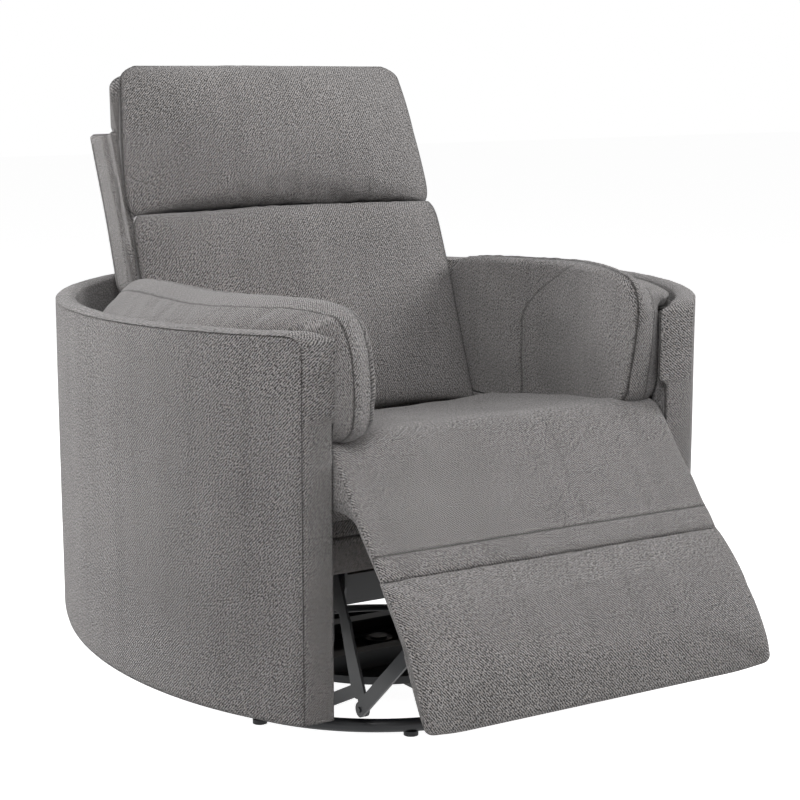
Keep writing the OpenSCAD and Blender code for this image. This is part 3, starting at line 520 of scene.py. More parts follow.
def chenille(name, streak=0.5, mapped=True):
    """The chair's woven chenille. It follows the piece's own UV map or, on a piece that has none, its Object
    coordinates turned so that the weave lies on a side wall. A seam's amount paints shade into the cloth,
    near black on the seam's line, for the shade in its groove."""
    material, tree, shader = new_material(name)
    place = tree.nodes.new("ShaderNodeTexCoord")
    vector = place.outputs["UV"]
    if not mapped:
        parts, joined = tree.nodes.new("ShaderNodeSeparateXYZ"), tree.nodes.new("ShaderNodeCombineXYZ")
        tree.links.new(place.outputs["Object"], parts.inputs[0])
        for source, target in ((2, 0), (1, 1), (0, 2)):
            tree.links.new(parts.outputs[source], joined.inputs[target])
        vector = joined.outputs[0]
    weave = use_group(tree, "chenille_weave", vector, Twill=1.5, Fleck=4.6)
    drape = use_group(tree, "pile_streaks", vector, Streak=streak)
    threads = math_node(tree, "ADD", weave.outputs["Threads"], 1.0)
    pile = math_node(tree, "MULTIPLY", threads, drape.outputs["Shade"])
    s = sizes()
    hue = math_node(tree, "SUBTRACT", weave.outputs["Hue"], 0.5)
    hue = math_node(tree, "MULTIPLY_ADD", hue, 2.2, 0.5)
    yarn = colour_mix(tree, hue, rgba(s.cloth_cool), rgba(s.cloth))
    tone = math_node(tree, "MULTIPLY_ADD", math_node(tree, "SUBTRACT", pile, 1.0), 0.625, 0.5)
    cloth = tree.nodes.new("ShaderNodeMix")
    cloth.data_type, cloth.blend_type = "RGBA", "MULTIPLY"
    cloth.inputs["Factor"].default_value = 1.0
    tree.links.new(yarn, cloth.inputs[6])
    tree.links.new(colour_mix(tree, tone, (0.2, 0.2, 0.2, 1), (1.8, 1.8, 1.8, 1)), cloth.inputs[7])
    # Painted shade along the seams: the seam amount blends the cloth towards a near-black copy of itself
    seam = tree.nodes.new("ShaderNodeAttribute")
    seam.attribute_name = "seam"
    seam_shade = math_node(tree, "MULTIPLY", seam.outputs["Fac"], 0.92)
    sewn = colour_mix(tree, seam_shade, cloth.outputs[2], rgba(s.cloth, 0.12))
    tree.links.new(sewn, shader.inputs["Base Color"])
    shader.inputs["Roughness"].default_value = 0.92
    shader.inputs["Specular IOR Level"].default_value = 0.15
    shader.inputs["Sheen Weight"].default_value = 0.3
    shader.inputs["Sheen Roughness"].default_value = 0.4
    shader.inputs["Sheen Tint"].default_value = (0.93, 0.92, 0.93, 1)
    bump(tree, shader, weave.outputs["Height"], 0.0013, 0.8)
    return material


def painted(name, colour, rough, metallic=0.0, marks=0.3, coat=0.0):
    """Painted or plated metal with faint handling marks."""
    material, tree, shader = new_material(name)
    place = tree.nodes.new("ShaderNodeTexCoord")
    wear = use_group(tree, "handling_marks", place.outputs["Object"], Amount=marks)
    mark = wear.outputs["Mark"]
    tree.links.new(colour_mix(tree, mark, rgba(colour), rgba(colour, 2.2)), shader.inputs["Base Color"])
    tree.links.new(math_node(tree, "MULTIPLY_ADD", mark, 0.35, rough), shader.inputs["Roughness"])
    shader.inputs["Metallic"].default_value = metallic
    shader.inputs["Coat Weight"].default_value = coat
    bump(tree, shader, wear.outputs["Height"], 0.0002, 0.25)
    return material


def grained(name, colour):
    """Plain timber: long growth lines along the piece's X, with pores."""
    material, tree, shader = new_material(name)
    place = tree.nodes.new("ShaderNodeTexCoord")
    along = vector_node(tree, "MULTIPLY", place.outputs["Object"], (3.0, 60.0, 60.0))
    lines = noise_node(tree, along, 1.0, 5.0, 0.6)
    tree.links.new(colour_mix(tree, lines, rgba(colour, 0.6), rgba(colour, 1.3)), shader.inputs["Base Color"])
    shader.inputs["Roughness"].default_value = 0.65
    bump(tree, shader, lines, 0.0004, 0.4)
    return material


MATERIALS = {}


def make_materials():
    weave_group()
    drape_group()
    wear_group()
    s = sizes()
    MATERIALS.update(
        cloth=chenille("chenille"),
        cloth_barrel=chenille("chenille_barrel", 0.5),
        lining=chenille("chenille_lining", mapped=False),
        black_steel=painted("black_paint", s.black, 0.42, 0.0, 0.3, 0.05),
        steel=painted("zinc_plating", s.zinc, 0.38, 1.0, 0.5),
        nylon=painted("black_nylon", s.black, 0.55, 0.0, 0.2),
        timber=grained("plain_timber", s.timber),
    )


# Barrel
# Heights of its lower edge at the arm fronts and at the back, the depth of the back and the lower edge inside
HEM_FRONT, HEM_REAR, BARREL_BACK, INNER_HEM = 75, 160, 498, 168.0
# The way round the wall, the fall of the rim's seams below its top and the cloth's width over the rim
WALL_PATH, RIM_FALL, RIM_CLOTH = 2450, 5, 36


def wall_place(share, radius):
    """Plan point at a share of the way round the barrel, from one arm front to the other by the back, on a
    circle of that radius. The angle is measured from the front. Both ends lie on the arm fronts' plane."""
    start = np.arccos((BARREL_Y - ARM_FRONT) / radius)
    angle = mix(start, 2 * np.pi - start, share)
    return radius * np.sin(angle), BARREL_Y - radius * np.cos(angle)


def rim_height(y, top, corner):
    """Height of the rim at a depth y: level, and rounded down to the arm front over a quarter circle."""
    into = np.clip(corner - (y - ARM_FRONT), 0, corner)
    return top - corner + np.sqrt(corner**2 - into**2)


def hem_height(y):
    """The barrel's lower edge rises evenly from the arm fronts to the back."""
    return mix(HEM_FRONT, HEM_REAR, (y - ARM_FRONT) / (BARREL_BACK - ARM_FRONT))


def barrel_skin(share):
    """Padded wall at the given shares of the way round. Each station is a closed loop: up the outer
    face, over the crowned rim and down the inner face. The outer face has a faint waviness that grows to
    2 mm between its edges, and a groove under the rim's seam."""
    s = sizes()
    outer_r, inner_r, top = s.barrel_r / MM, (s.barrel_r - s.wall) / MM, s.arm_top / MM
    count_side, count_rim = 98, 21
    a = np.append(np.linspace(0, 0.984, count_side - 4), [0.99, 0.9945, 0.9975, 1])
    c = 0.5 - 0.5 * np.cos(np.pi * np.linspace(0, 1, count_rim))
    xo, yo = wall_place(share, outer_r)
    xi, yi = wall_place(share, inner_r)
    rim_o, rim_i = (rim_height(y, top - RIM_FALL, ARM_CORNER)[:, None] for y in (yo, yi))
    hem = hem_height(yo)[:, None]
    nx, ny = (xo / outer_r)[:, None], ((yo - BARREL_Y) / outer_r)[:, None]
    path = share[:, None] * WALL_PATH
    z = mix(hem, rim_o, a)
    edge = np.sin(np.pi * a) ** 0.5
    from_front = (np.minimum(share, 1 - share) * WALL_PATH)[:, None]
    wave = (ripple(path, z * 0.35, 5, 340) * 1.3 - 0.8) * edge - 1.6 * ridge(z, rim_o, 3)
    wave = wave - 3.0 * np.clip(1 - a * 30, 0, 1) ** 2 - 1.5 * ridge(from_front, 0, 4)
    outer = np.stack([xo[:, None] + nx * wave, yo[:, None] + ny * wave, z], axis=2)
    crown = (np.sin(np.pi * c) ** 0.6)[None, :] * 5.4 * (1 + 0.16 * ripple(path, c * 20, 8, 120))
    rim_x = mix(xo[:, None], xi[:, None], c)
    rim_y = mix(yo[:, None], yi[:, None], c)
    rim = np.stack([rim_x, rim_y, mix(rim_o, rim_i, c) + crown], axis=2)
    zi = mix(rim_i, np.maximum(INNER_HEM, hem + 4), a)
    inward = 1.6 * edge * ripple(path, zi * 0.4, 11, 260)
    inner = np.stack([xi[:, None] - nx * inward, yi[:, None] - ny * inward, zi], axis=2)
    rows = np.concatenate([outer, rim[:, 1:-1], inner], axis=1)
    seam = np.zeros(rows.shape[:2])
    seam[:, count_side - 2:count_side + 1] = [0.3, 1.0, 0.3]
    seam[:, count_side + count_rim - 3] = 0.6
    over = (rim_o + RIM_CLOTH * c)[:, 1:-1]
    cloth = np.concatenate([z, over, rim_o + RIM_CLOTH + rim_i - zi], axis=1)
    return rows, seam, corner_places(np.stack(np.broadcast_arrays(cloth, path), axis=2))


class RECLINER_OT_barrel(bpy.types.Operator):
    """Upholstered barrel wall in three panels, with upright seams between them"""

    bl_idname = "recliner.barrel"
    bl_label = "Barrel"

    def execute(self, context):
        # Shares of the way round at which the rear panel meets the side panels
        joins = (0.2535, 0.7465)
        spans = {"left": (0, joins[0], 110), "rear": (*joins, 190), "right": (joins[1], 1, 110)}
        for name, (a, b, stations) in spans.items():
            t = np.linspace(0, 1, stations)
            beside = 0.0012 / (b - a)
            t = np.concatenate([[0, beside], t[1:-1], [1 - beside, 1]])
            rows, seam, weave = barrel_skin(mix(a, b, t))
            for end, joined in ((0, a > 0), (-1, b < 1)):
                if joined:
                    step = 1 if end == 0 else -1
                    for k, amount in enumerate((0.8, 0.2)):
                        seam[end + k * step] = np.maximum(seam[end + k * step], amount)
            obj = new_skin(f"barrel_{name}_skin", rows, seam, material=MATERIALS["cloth_barrel"], weave=weave)
            dress(obj, "carriage", "fabric", f"barrel_{name}")
        return {"FINISHED"}


def band_path(count_up, count_over, low, top, corner):
    """Side view of a front band: straight up the arm front, then back over the rounded corner."""
    up = np.stack([np.full(count_up, ARM_FRONT), np.linspace(low, top - corner, count_up)], axis=1)
    angle = np.linspace(0, np.pi / 2, count_over)[1:]
    over = np.stack([ARM_FRONT + corner * (1 - np.cos(angle)), top - corner + corner * np.sin(angle)], axis=1)
    out = np.vstack([np.tile([-1.0, 0.0], (count_up, 1)), np.stack([-np.cos(angle), np.sin(angle)], axis=1)])
    return np.vstack([up, over]), out


class RECLINER_OT_front_bands(bpy.types.Operator):
    """Narrow fabric bands up the two arm fronts, which run on over the corner as the rim"""

    bl_idname = "recliner.front_bands"
    bl_label = "Front bands"

    def execute(self, context):
        s = sizes()
        outer_r, inner_r, top = s.barrel_r / MM, (s.barrel_r - s.wall) / MM, s.arm_top / MM
        path, out = band_path(170, 22, 77, top - 1, ARM_CORNER)
        across = 0.5 - 0.5 * np.cos(np.pi * np.linspace(0, 1, 25))
        for side, sign in SIDES.items():
            y = path[:, 0]
            edge_out = np.sqrt(outer_r**2 - (y - BARREL_Y) ** 2) - 0.6
            # Beside the arm pillow the band is wider, and below it narrow, so that the seat slides past
            beside = ease((614 - path[:, 1]) / 8) * ease((path[:, 1] - 492) / 12)
            edge_in = np.sqrt(inner_r**2 - (y - BARREL_Y) ** 2) - 1.0 - 14 * beside
            sunk = 3.2 * ease((path[:, 1:2] - (top - ARM_CORNER)) / ARM_CORNER)
            full = np.abs(np.sin(np.pi * across)) ** 0.4
            crown = (3.4 + sunk) * full * (1 + 0.2 * ripple(path[:, 1:2], across * 30, 21, 90)) - 1.6 - sunk
            x = mix(edge_out[:, None], edge_in[:, None], across)
            front = np.stack([x, y[:, None] + out[:, :1] * crown, path[:, 1:2] + out[:, 1:] * crown], axis=2)
            behind = np.pad(out, ((0, 0), (1, 0)))[:, None]
            back = front[:, ::-1] - behind * 3.5
            rows = np.concatenate([front, back], axis=1) * [sign, 1, 1]
            seam = np.zeros(rows.shape[:2])
            seam[:, :4], seam[:, 21:25] = [1.0, 0.9, 0.4, 0.1], [0.1, 0.4, 0.9, 1.0]
            obj = new_skin(f"front_band_{side}_skin", rows, seam, material=MATERIALS["cloth"])
            dress(obj, "carriage", "fabric", f"front_band_{side}")
        return {"FINISHED"}


# Arm pillows
PILLOW_REAR = 215


def pillow_place(q, w, z):
    """Chair points of an arm pillow from q, the way back from the arm's front, w, the way out from its inner
    face, and the height z. The inner face follows a curve that moves out behind the sitter's hips, and w runs
    along the line from there to the barrel wall. Also gives the whole width there."""
    t = np.maximum(q, 0) / (PILLOW_REAR - ARM_FRONT)
    reach = (sizes().barrel_r - sizes().wall) / MM - 1.5
    ax, ay = 226 + 70 * ease(t / 0.58), mix(ARM_FRONT, PILLOW_REAR, t)
    turn = np.radians(mix(38.8, 95, t))
    bx, by = reach * np.sin(turn), BARREL_Y - reach * np.cos(turn)
    whole = np.hypot(bx - ax, by - ay)
    x, y = ax + (bx - ax) / whole * w, ay + (by - ay) / whole * w + np.minimum(q, 0)
    return np.stack(np.broadcast_arrays(x, y, z), axis=-1), whole


def seam_width(t, whole, near):
    """Widths of the crown strip's inner and outer seams at shares t of the arm's length. near holds both at
    the front."""
    return near[0] + 22 * ease(t / 0.5), np.minimum(near[1] + 64 * ease(t / 0.5), whole * 0.8)


def pillow_rows(outline, near, ahead, fall, full, drop, inner=46, strip=26, outer=84):
    """Rings over an arm pillow: from the middle line of its inner face out to the inner seam, across the
    crown strip to the outer seam, and in again over the outer side. A ring is the outline drawn in by a
    share g towards the pillow's middle line. The inner face swells in a quarter circle. The outer side slopes
    to the rim, drops to the deck and goes down beside the arm's inner panel. near is the strip's two seams at
    the front, and ahead is how far the outer one stands in front of the inner one. fall is how far it lies
    under that one on top at the front, and drop further back. full is the share of the way in at which the
    front's outer side is at its widest."""
    q0, z0 = outline[:, 0], outline[:, 1]
    t0 = np.clip(q0 / (PILLOW_REAR - ARM_FRONT), 0, 1)
    whole0 = pillow_place(q0, 0, z0)[1]
    seam_in, seam_out = seam_width(t0, whole0, near)
    along = np.linspace(0, 1, len(outline) // 2)
    along = np.concatenate([along, along[::-1]])
    middle = np.stack([mix(485, 105, along), mix(522, 543, along)], axis=1)
    front = ease((70 - q0) / 60)
    under = ease((500 - z0) / 30) * ease((q0 - 40) / 30)
    seam_in = mix(seam_in, 0, under)
    g_in = 0.975 * (1 - np.linspace(0, 1, inner, endpoint=False) ** 0.75)[:, None]
    swell = np.sqrt(np.clip(1 - (1 - np.clip(g_in / mix(0.1, 0.03, under), 0, 1)) ** 2, 0, 1))
    w_in = seam_in * (1 - swell) - 2 * swell - 5 * ease(g_in * 1.2)
    c = np.linspace(0, 1, strip)[:, None]
    g_strip = -0.02 * np.sin(np.pi * c) + 0 * seam_in
    w_strip = mix(seam_in, seam_out, c)
    g_out = 0.975 * (np.linspace(0, 1, outer + 1)[1:] ** 1.12)[:, None]
    edge = whole0 - 1.5
    slope = np.clip(g_out / mix(0.24, full, front), 0, 1)
    w_out = mix(seam_out, edge, mix(slope, np.sin(slope * np.pi / 2), 0.6 + 0.4 * front))
    g = np.vstack([g_in + 0 * q0, g_strip, g_out + 0 * q0])
    w = np.vstack([w_in, w_strip, w_out])
    place = outline[None] + (middle - outline)[None] * g[..., None]
    q, z = place[..., 0], place[..., 1]
    # The outer seam lies lower on top and further forward at the front than the inner one
    over = np.clip((w - seam_in) / (seam_out - seam_in), 0, 1)
    z = z - mix(drop, fall, front) * ease((z0 - 600) / 30) * ease(over) * (1 - g)
    q = q - ahead * ease(over) * front * (1 - 0.3 * np.clip(g, 0, 1))
    pad = np.minimum(54 + 7 * front, edge)
    outside = (np.arange(len(g)) >= inner + strip)[:, None]
    w = np.where(outside, mix(np.minimum(w, pad), w, ease((z - 598.5) / 2.5)), w)
    return pillow_place(q, w, z)[0], q, w, z, inner, inner + strip - 1


class RECLINER_OT_arm_pillows(bpy.types.Operator):
    """Curved arm pillows: an inner pad, a crown strip between two seams that runs on down the front, and a
    panel that slopes to the rim"""

    bl_idname = "recliner.arm_pillows"
    bl_label = "Arm pillows"

    def execute(self, context):
        # Outline at the inner seam, from the rear end over the top to the front: way back and height
        tops = {"right": [[606, 535], [606, 575], [603, 604], [592, 623], [568, 635], [520, 641],
                          [440, 643], [340, 644], [220, 648], [125, 650], [80, 648], [48, 643], [26, 633],
                          [11, 618], [0, 600], [-8, 578], [-12, 550]],
                "left": [[606, 535], [606, 575], [603, 604], [590, 624], [560, 637], [500, 643],
                         [418, 648], [278, 656], [123, 663], [72, 663], [38, 660], [17, 653], [4, 641],
                         [-3, 622], [-4, 600], [-1, 575], [3, 550]], }
        lows = {
            "right": [[-13, 530], [-11, 505], [-6, 486], [5, 474], [20, 466], [42, 462]],
            "left": [[8, 530], [14, 507], [19, 487], [28, 474], [40, 466], [56, 461]],
        }
        rest = [[120, 450], [250, 430], [380, 410], [430, 405.5], [520, 405.5], [572, 409], [595, 424],
                [604, 450], [606, 495]]
        # What pillow_rows takes as near, ahead, fall, full and drop
        strips = {"right": ((10, 45), 14, 1, 0.17, 8), "left": ((3, 38), -5, 18, 0.26, 24)}
        for side, sign in SIDES.items():
            top = smooth_path(tops[side], 210)
            low = smooth_path(lows[side] + rest, 210)
            outline = np.vstack([top, low])
            rows, q, w, z, inner, outer = pillow_rows(outline, *strips[side])
            n = len(rows)
            ring = np.arange(n)[:, None]
            seam = np.maximum(ridge(ring, inner, 0.8), ridge(ring, outer, 0.95)) + 0 * q
            joint = 22 - 179 * np.clip((z - 545) / 117, 0, 2) ** 1.8
            seam = np.maximum(seam, 0.9 * ridge(rows[..., 1], joint, 2.4) * (ring < inner - 2))
            path = loop_length(outline)[0][None, :] + 0 * q
            depth = np.abs(w) + 0 * q
            gap = np.minimum(np.abs(ring - inner), np.abs(ring - outer)) + 0 * q
            beside = np.exp(-(gap / 5.0) ** 2)
            panel = ease((ring - outer) / 5) * ease((z - 606) / 10)
            face = ease((inner - ring) / 5)
            amount = -1.4 * seam + 0.9 * ripple(path, depth * 0.3, 31, 38, 2) * beside
            amount = amount + 2.4 * ripple(path, depth * 0.25, 35, 60, 2) * panel
            amount = amount + 2.0 * ripple(q, z * 0.8, 33 + sign, 150, 3) * face
            rows = along_normals(rows, amount)
            front, out = ease((70 - outline[:, 0]) / 60), np.maximum(w - w[outer], 0) * (ring > outer)
            flat = np.stack([z - out * (1 - front), q + out * front], axis=2)
            strip = np.stack([path, w], axis=2)
            on_strip = ((np.arange(n - 1) >= inner) & (np.arange(n - 1) < outer))[:, None, None, None]
            weave = np.where(on_strip, corner_places(strip), corner_places(flat))
            obj = new_skin(f"arm_pillow_{side}_cover", rows * [sign, 1, 1], seam, ends="ladder",
                           material=MATERIALS["cloth"], weave=weave)
            dress(obj, "carriage", "fabric", f"arm_pillow_{side}", padded=0.75)
        return {"FINISHED"}


# Cushions carried across the width


def rounded_across(half, loop, centre, round_off, depth, ends=6, middle=80):
    """A loop in side view carried across the width. Over the last depth millimetres at each side it draws in
    about the centre along a quarter circle, by the shares in round_off of its two directions."""
    turn = np.linspace(0, np.pi / 2, ends + 1)[1:]
    edge = half - depth + depth * np.sin(turn)
    draw = 1 - np.cos(turn)
    draw = np.concatenate([draw[::-1], np.zeros(middle), draw])
    x = np.concatenate([-edge[::-1], np.linspace(depth - half, half - depth, middle), edge])
    size = 1 - np.stack([round_off[0] * draw**1.6, round_off[1] * draw], axis=1)
    yz = centre + (loop - centre) * size[:, None]
    return np.concatenate([np.broadcast_to(x[:, None, None], (len(x), len(loop), 1)), yz], axis=2)


def close_sides(rows, bulge, steps=5, least=0.08):
    """Adds a gently crowned flat side at each end of the rows: copies of the end loop that shrink about their
    middle and stand further out, by bulge in all."""
    q = np.linspace(0, 1, steps + 1)[1:]
    shrink = 1 - (1 - least) * q
    out = bulge * np.sqrt(1 - (1 - q) ** 2)
    sides = []
    for row, sign in ((rows[0], -1), (rows[-1], 1)):
        mid = row.mean(0)
        sides.append(np.array([mid + (row - mid) * k + [sign * b, 0, 0] for k, b in zip(shrink, out)]))
    return np.concatenate([sides[0][::-1], rows, sides[1]]), steps


def placed(rows, origin, along, ahead):
    """Rows of (x, along, ahead) points moved to the chair's (x, y, z)."""
    yz = origin + rows[..., 1:2] * np.array(along) + rows[..., 2:3] * np.array(ahead)
    return np.concatenate([rows[..., :1], yz], axis=-1)


def to_back(rows):
    """From the back's own directions (x, along, forward) to the chair's."""
    return placed(rows, RECLINE, (np.sin(LEAN), np.cos(LEAN)), (-np.cos(LEAN), np.sin(LEAN)))


def to_footrest(rows):
    """From the footrest's own directions (x, down the pad, behind its face) to the chair's."""
    c, s = np.cos(PAD_PITCH), np.sin(PAD_PITCH)
    return placed(rows, CREASE, (-c, -s), (s, -c))


def across_width(half, middle=72):
    """Shares of a half width from -1 to 1, with narrow steps beside both edges for their seams."""
    edge = 1 - np.array([0, 1.1, 2.3, 4.2, 7, 11, 17, 25]) / half
    return np.concatenate([-edge[:-1], np.linspace(-edge[-1], edge[-1], middle), edge[:-1][::-1]])


def boxed_cushion(loop, width, sewn, share, power=2.6):
    """Rows of a boxed cushion from its middle side view, a loop of (along, forward) points. At a share u of
    the width a point lies at x = u times width(along). What stands ahead of the place sewn is scaled by 1
    less |u| to the power given, so the face falls in a long curve to a sewn edge at each side. Beside the
    back's frame the sides lap 15 mm to the rear."""
    u = share[:, None]
    ahead = np.maximum(loop[None, :, 1] - sewn, 0)
    x = u * width(loop[:, 0])[None, :]
    forward = np.minimum(loop[None, :, 1], sewn) + ahead * (1 - np.abs(u) ** power)
    lap = ease((np.abs(u) - 0.976) / 0.014) * ease((24 - loop[:, 1]) / 6) * ease((540 - loop[:, 0]) / 8)
    forward = forward - 15 * lap
    return np.stack([x, np.broadcast_to(loop[None, :, 0], x.shape), forward], axis=2)


def boxed_cover(name, rows, loop, sewn, wave, gather, edge_columns=None):
    """Finishes a boxed cushion: side panels, seams along their front edges, a tucked crease and soft
    unevenness. gather is the share by which each point is drawn in at the crease."""
    rows, extra = close_sides(rows, 2.5)
    n = len(rows)
    station = np.arange(n)
    beside = (ridge(station, extra, 2.2) + ridge(station, n - 1 - extra, 2.2))[:, None]
    front = ease((loop[:, 1] - sewn + 2) / 3)[None, :]
    seam = beside * front
    if edge_columns is not None:
        inside = ((station > extra) & (station < n - 1 - extra))[:, None]
        seam = np.maximum(seam, edge_columns[None, :] * inside)
    xx = rows[:, :1, 0]
    place = loop_length(loop)[0][None, :]
    face = ease((rows[..., 2] - sewn) / 20)
    folds = 0.5 + 0.5 * ripple(xx, place * 0.12, wave, 34, 2)
    uneven = 1.3 * ripple(xx, place, wave + 1, 230, 2)
    amount = (uneven - 2.6 * gather[None, :] * folds) * face - 1.5 * seam
    obj = new_skin(name, to_back(pushed(rows, amount)), seam, material=MATERIALS["cloth"])
    held = np.append(np.clip(seam + (1 - face) + beside, 0, 1).ravel(), [1, 1])
    return obj, held


def shares(points, l0, l1, t0, t1):
    p = np.asarray(points, float)
    return np.stack([mix(l0, l1, p[:, 0]), mix(t0, t1, p[:, 1])], axis=1)


class RECLINER_OT_head_pillow(bpy.types.Operator):
    """Head pillow with boxed sides, narrower towards its top and rolled over the top of the back"""

    bl_idname = "recliner.head_pillow"
    bl_label = "Head pillow"

    def execute(self, context):
        half = sizes().back_half / MM + 2
        top, corner = 637, 25

        def width(along):
            """The half width narrows towards the top and is pinched at the crease, and the top corners are
            quarter ellipses."""
            into = np.clip((along - (top - corner)) / corner, 0, 1)
            sides = half - 0.0073 * np.maximum(along - 390, 0) ** 1.5 - 12 * np.exp(-(along - 386) / 12)
            return sides - 44 * (1 - np.sqrt(1 - into**2))

        loop = smooth_loop([[387.5, 16.3], [387.5, 42], [388, 66], [390, 87], [396, 101], [411, 109.5],
                            [465, 115.5], [528, 114], [570, 107], [602, 93], [621, 75], [630, 59],
                            [634, 45], [635.5, 28], [635, 8], [632, -7], [623, -14], [602, -17],
                            [576, -15], [556, -8], [546, 3], [541, 12], [534, 16.3], [500, 16.3],
                            [440, 16.3]], 260)
        loop[:, 0] = np.minimum(loop[:, 0], top)
        sewn = mix(34.0, 45.0, ease((loop[:, 0] - 390) / 200))
        rows = boxed_cushion(loop, width, sewn, across_width(half))
        # The lap behind the back's top grows level towards the sides
        level = ease((np.abs(rows[..., 0]) / half - 0.55) / 0.35)
        rows[..., 2] += np.maximum(-rows[..., 2], 0) * level
        rows[..., 1] -= 3 * (rows[..., 0] / half) * ease((rows[..., 1] - 570) / 60)
        gather = np.exp(-np.abs(loop[:, 0] - 388) / 24) + 0.35 * np.exp(-((loop[:, 0] - 634) / 22) ** 2)
        over_top = near_place(loop, [632.5, 52], 1.8)
        obj, held = boxed_cover("head_pillow_cover", rows, loop, sewn, 41, gather, over_top)
        fill(obj, held, sizes().puff * 0.6)
        dress(obj, "back", "fabric", "head_pillow", padded=0.8)
        return {"FINISHED"}


class RECLINER_OT_lumbar_cushion(bpy.types.Operator):
    """Lower back cushion with boxed sides, tucked under the head pillow and behind the seat"""

    bl_idname = "recliner.lumbar_cushion"
    bl_label = "Lower back cushion"

    def execute(self, context):
        half = sizes().back_half / MM + 3
        sewn = 45

        def width(along):
            """The half width is even, fuller at the waist and pinched at the crease."""
            return half + 2 * ridge(along, 230, 90) - 12 * np.exp(-(385.5 - along) / 12)

        loop = smooth_loop([[44, 16.3], [42, 36], [37, 56], [33, 72], [38, 86], [55, 93], [88, 95.5],
                            [130, 97], [180, 99], [230, 101], [290, 103], [330, 102.5], [359, 97],
                            [376, 86], [384, 70], [386, 50], [386, 30], [386, 16.3], [300, 16.3],
                            [180, 16.3]], 260)
        rows = boxed_cushion(loop, width, sewn, across_width(half))
        gather = np.exp(-np.abs(loop[:, 0] - 385) / 22)
        obj, held = boxed_cover("lumbar_cushion_cover", rows, loop, sewn, 51, gather)
        fill(obj, held, sizes().puff * 0.5)
        dress(obj, "back", "fabric", "lumbar_cushion", padded=0.75)
        return {"FINISHED"}


class RECLINER_OT_back_shell(bpy.types.Operator):
    """Outside back: a thin padded box with a crowned rear face and seams down its rear corners"""

    bl_idname = "recliner.back_shell"
    bl_label = "Outside back"

    def execute(self, context):
        half = sizes().shell_half / MM
        plan = smooth_loop([[-half, 3], [-half, 12], [-half, 42], [-half + 1, 51], [-half + 8, 56],
                            [-half + 24, 58], [-half * 0.6, 60], [0, 62], [half * 0.6, 60],
                            [half - 24, 58], [half - 8, 56], [half - 1, 51], [half, 42], [half, 12],
                            [half, 3], [half - 2, 0.5], [half - 6, -1], [half - 7, -6], [half - 8, -16],
                            [half - 20, -17.5], [half * 0.5, -17.5], [-half * 0.5, -17.5],
                            [-half + 20, -17.5], [-half + 8, -16], [-half + 7, -6], [-half + 6, -1],
                            [-half + 2, 0.5]], 300)
        turn = np.linspace(0.08, 1, 12) * np.pi / 2
        up = np.concatenate([np.linspace(32, 529, 100), 529 + 8 * np.sin(turn), np.full(6, 537.5)])
        inset = 6 * np.concatenate([np.zeros(100), 1 - np.cos(turn), np.linspace(1.4, 6, 6)])
        mid = np.array([0, 18.0])
        size = np.array([half, 37.0])
        rows = np.array([mid + (plan - mid) * (1 - k / size) for k in inset])
        narrow = 1 - 0.12 * ease((300 - up) / 120)
        rows = rows * np.stack([narrow, np.ones_like(narrow)], axis=1)[:, None]
        corner = np.maximum(near_place(plan, [5 - half, 46], 3), near_place(plan, [half - 5, 46], 3))
        edge = ridge(np.arange(len(up)), 106, 1.2)[:, None]
        seam = np.maximum(corner * (up < 520)[:, None], edge)
        wave = 1.4 * ripple(plan[None, :, 0], up[:, None], 61, 260, 2)
        # The top edge is brought level, because the back leans
        level = 0.33 * np.maximum(rows[..., 1:], 0) * ease((up - 380) / 157)[:, None, None]
        rows = np.concatenate([rows[..., :1], up[:, None, None] + level, -rows[..., 1:]], axis=2)
        rows = to_back(pushed(rows, wave - 1.8 * seam))
        obj = new_skin("back_shell_cover", rows, seam, material=MATERIALS["cloth"])
        dress(obj, "back", "fabric", "back_shell")
        return {"FINISHED"}


# Seat and footrest


def seat_height(y):
    return SEAT_TOP - (y - SEAT_FRONT) * SEAT_SLOPE


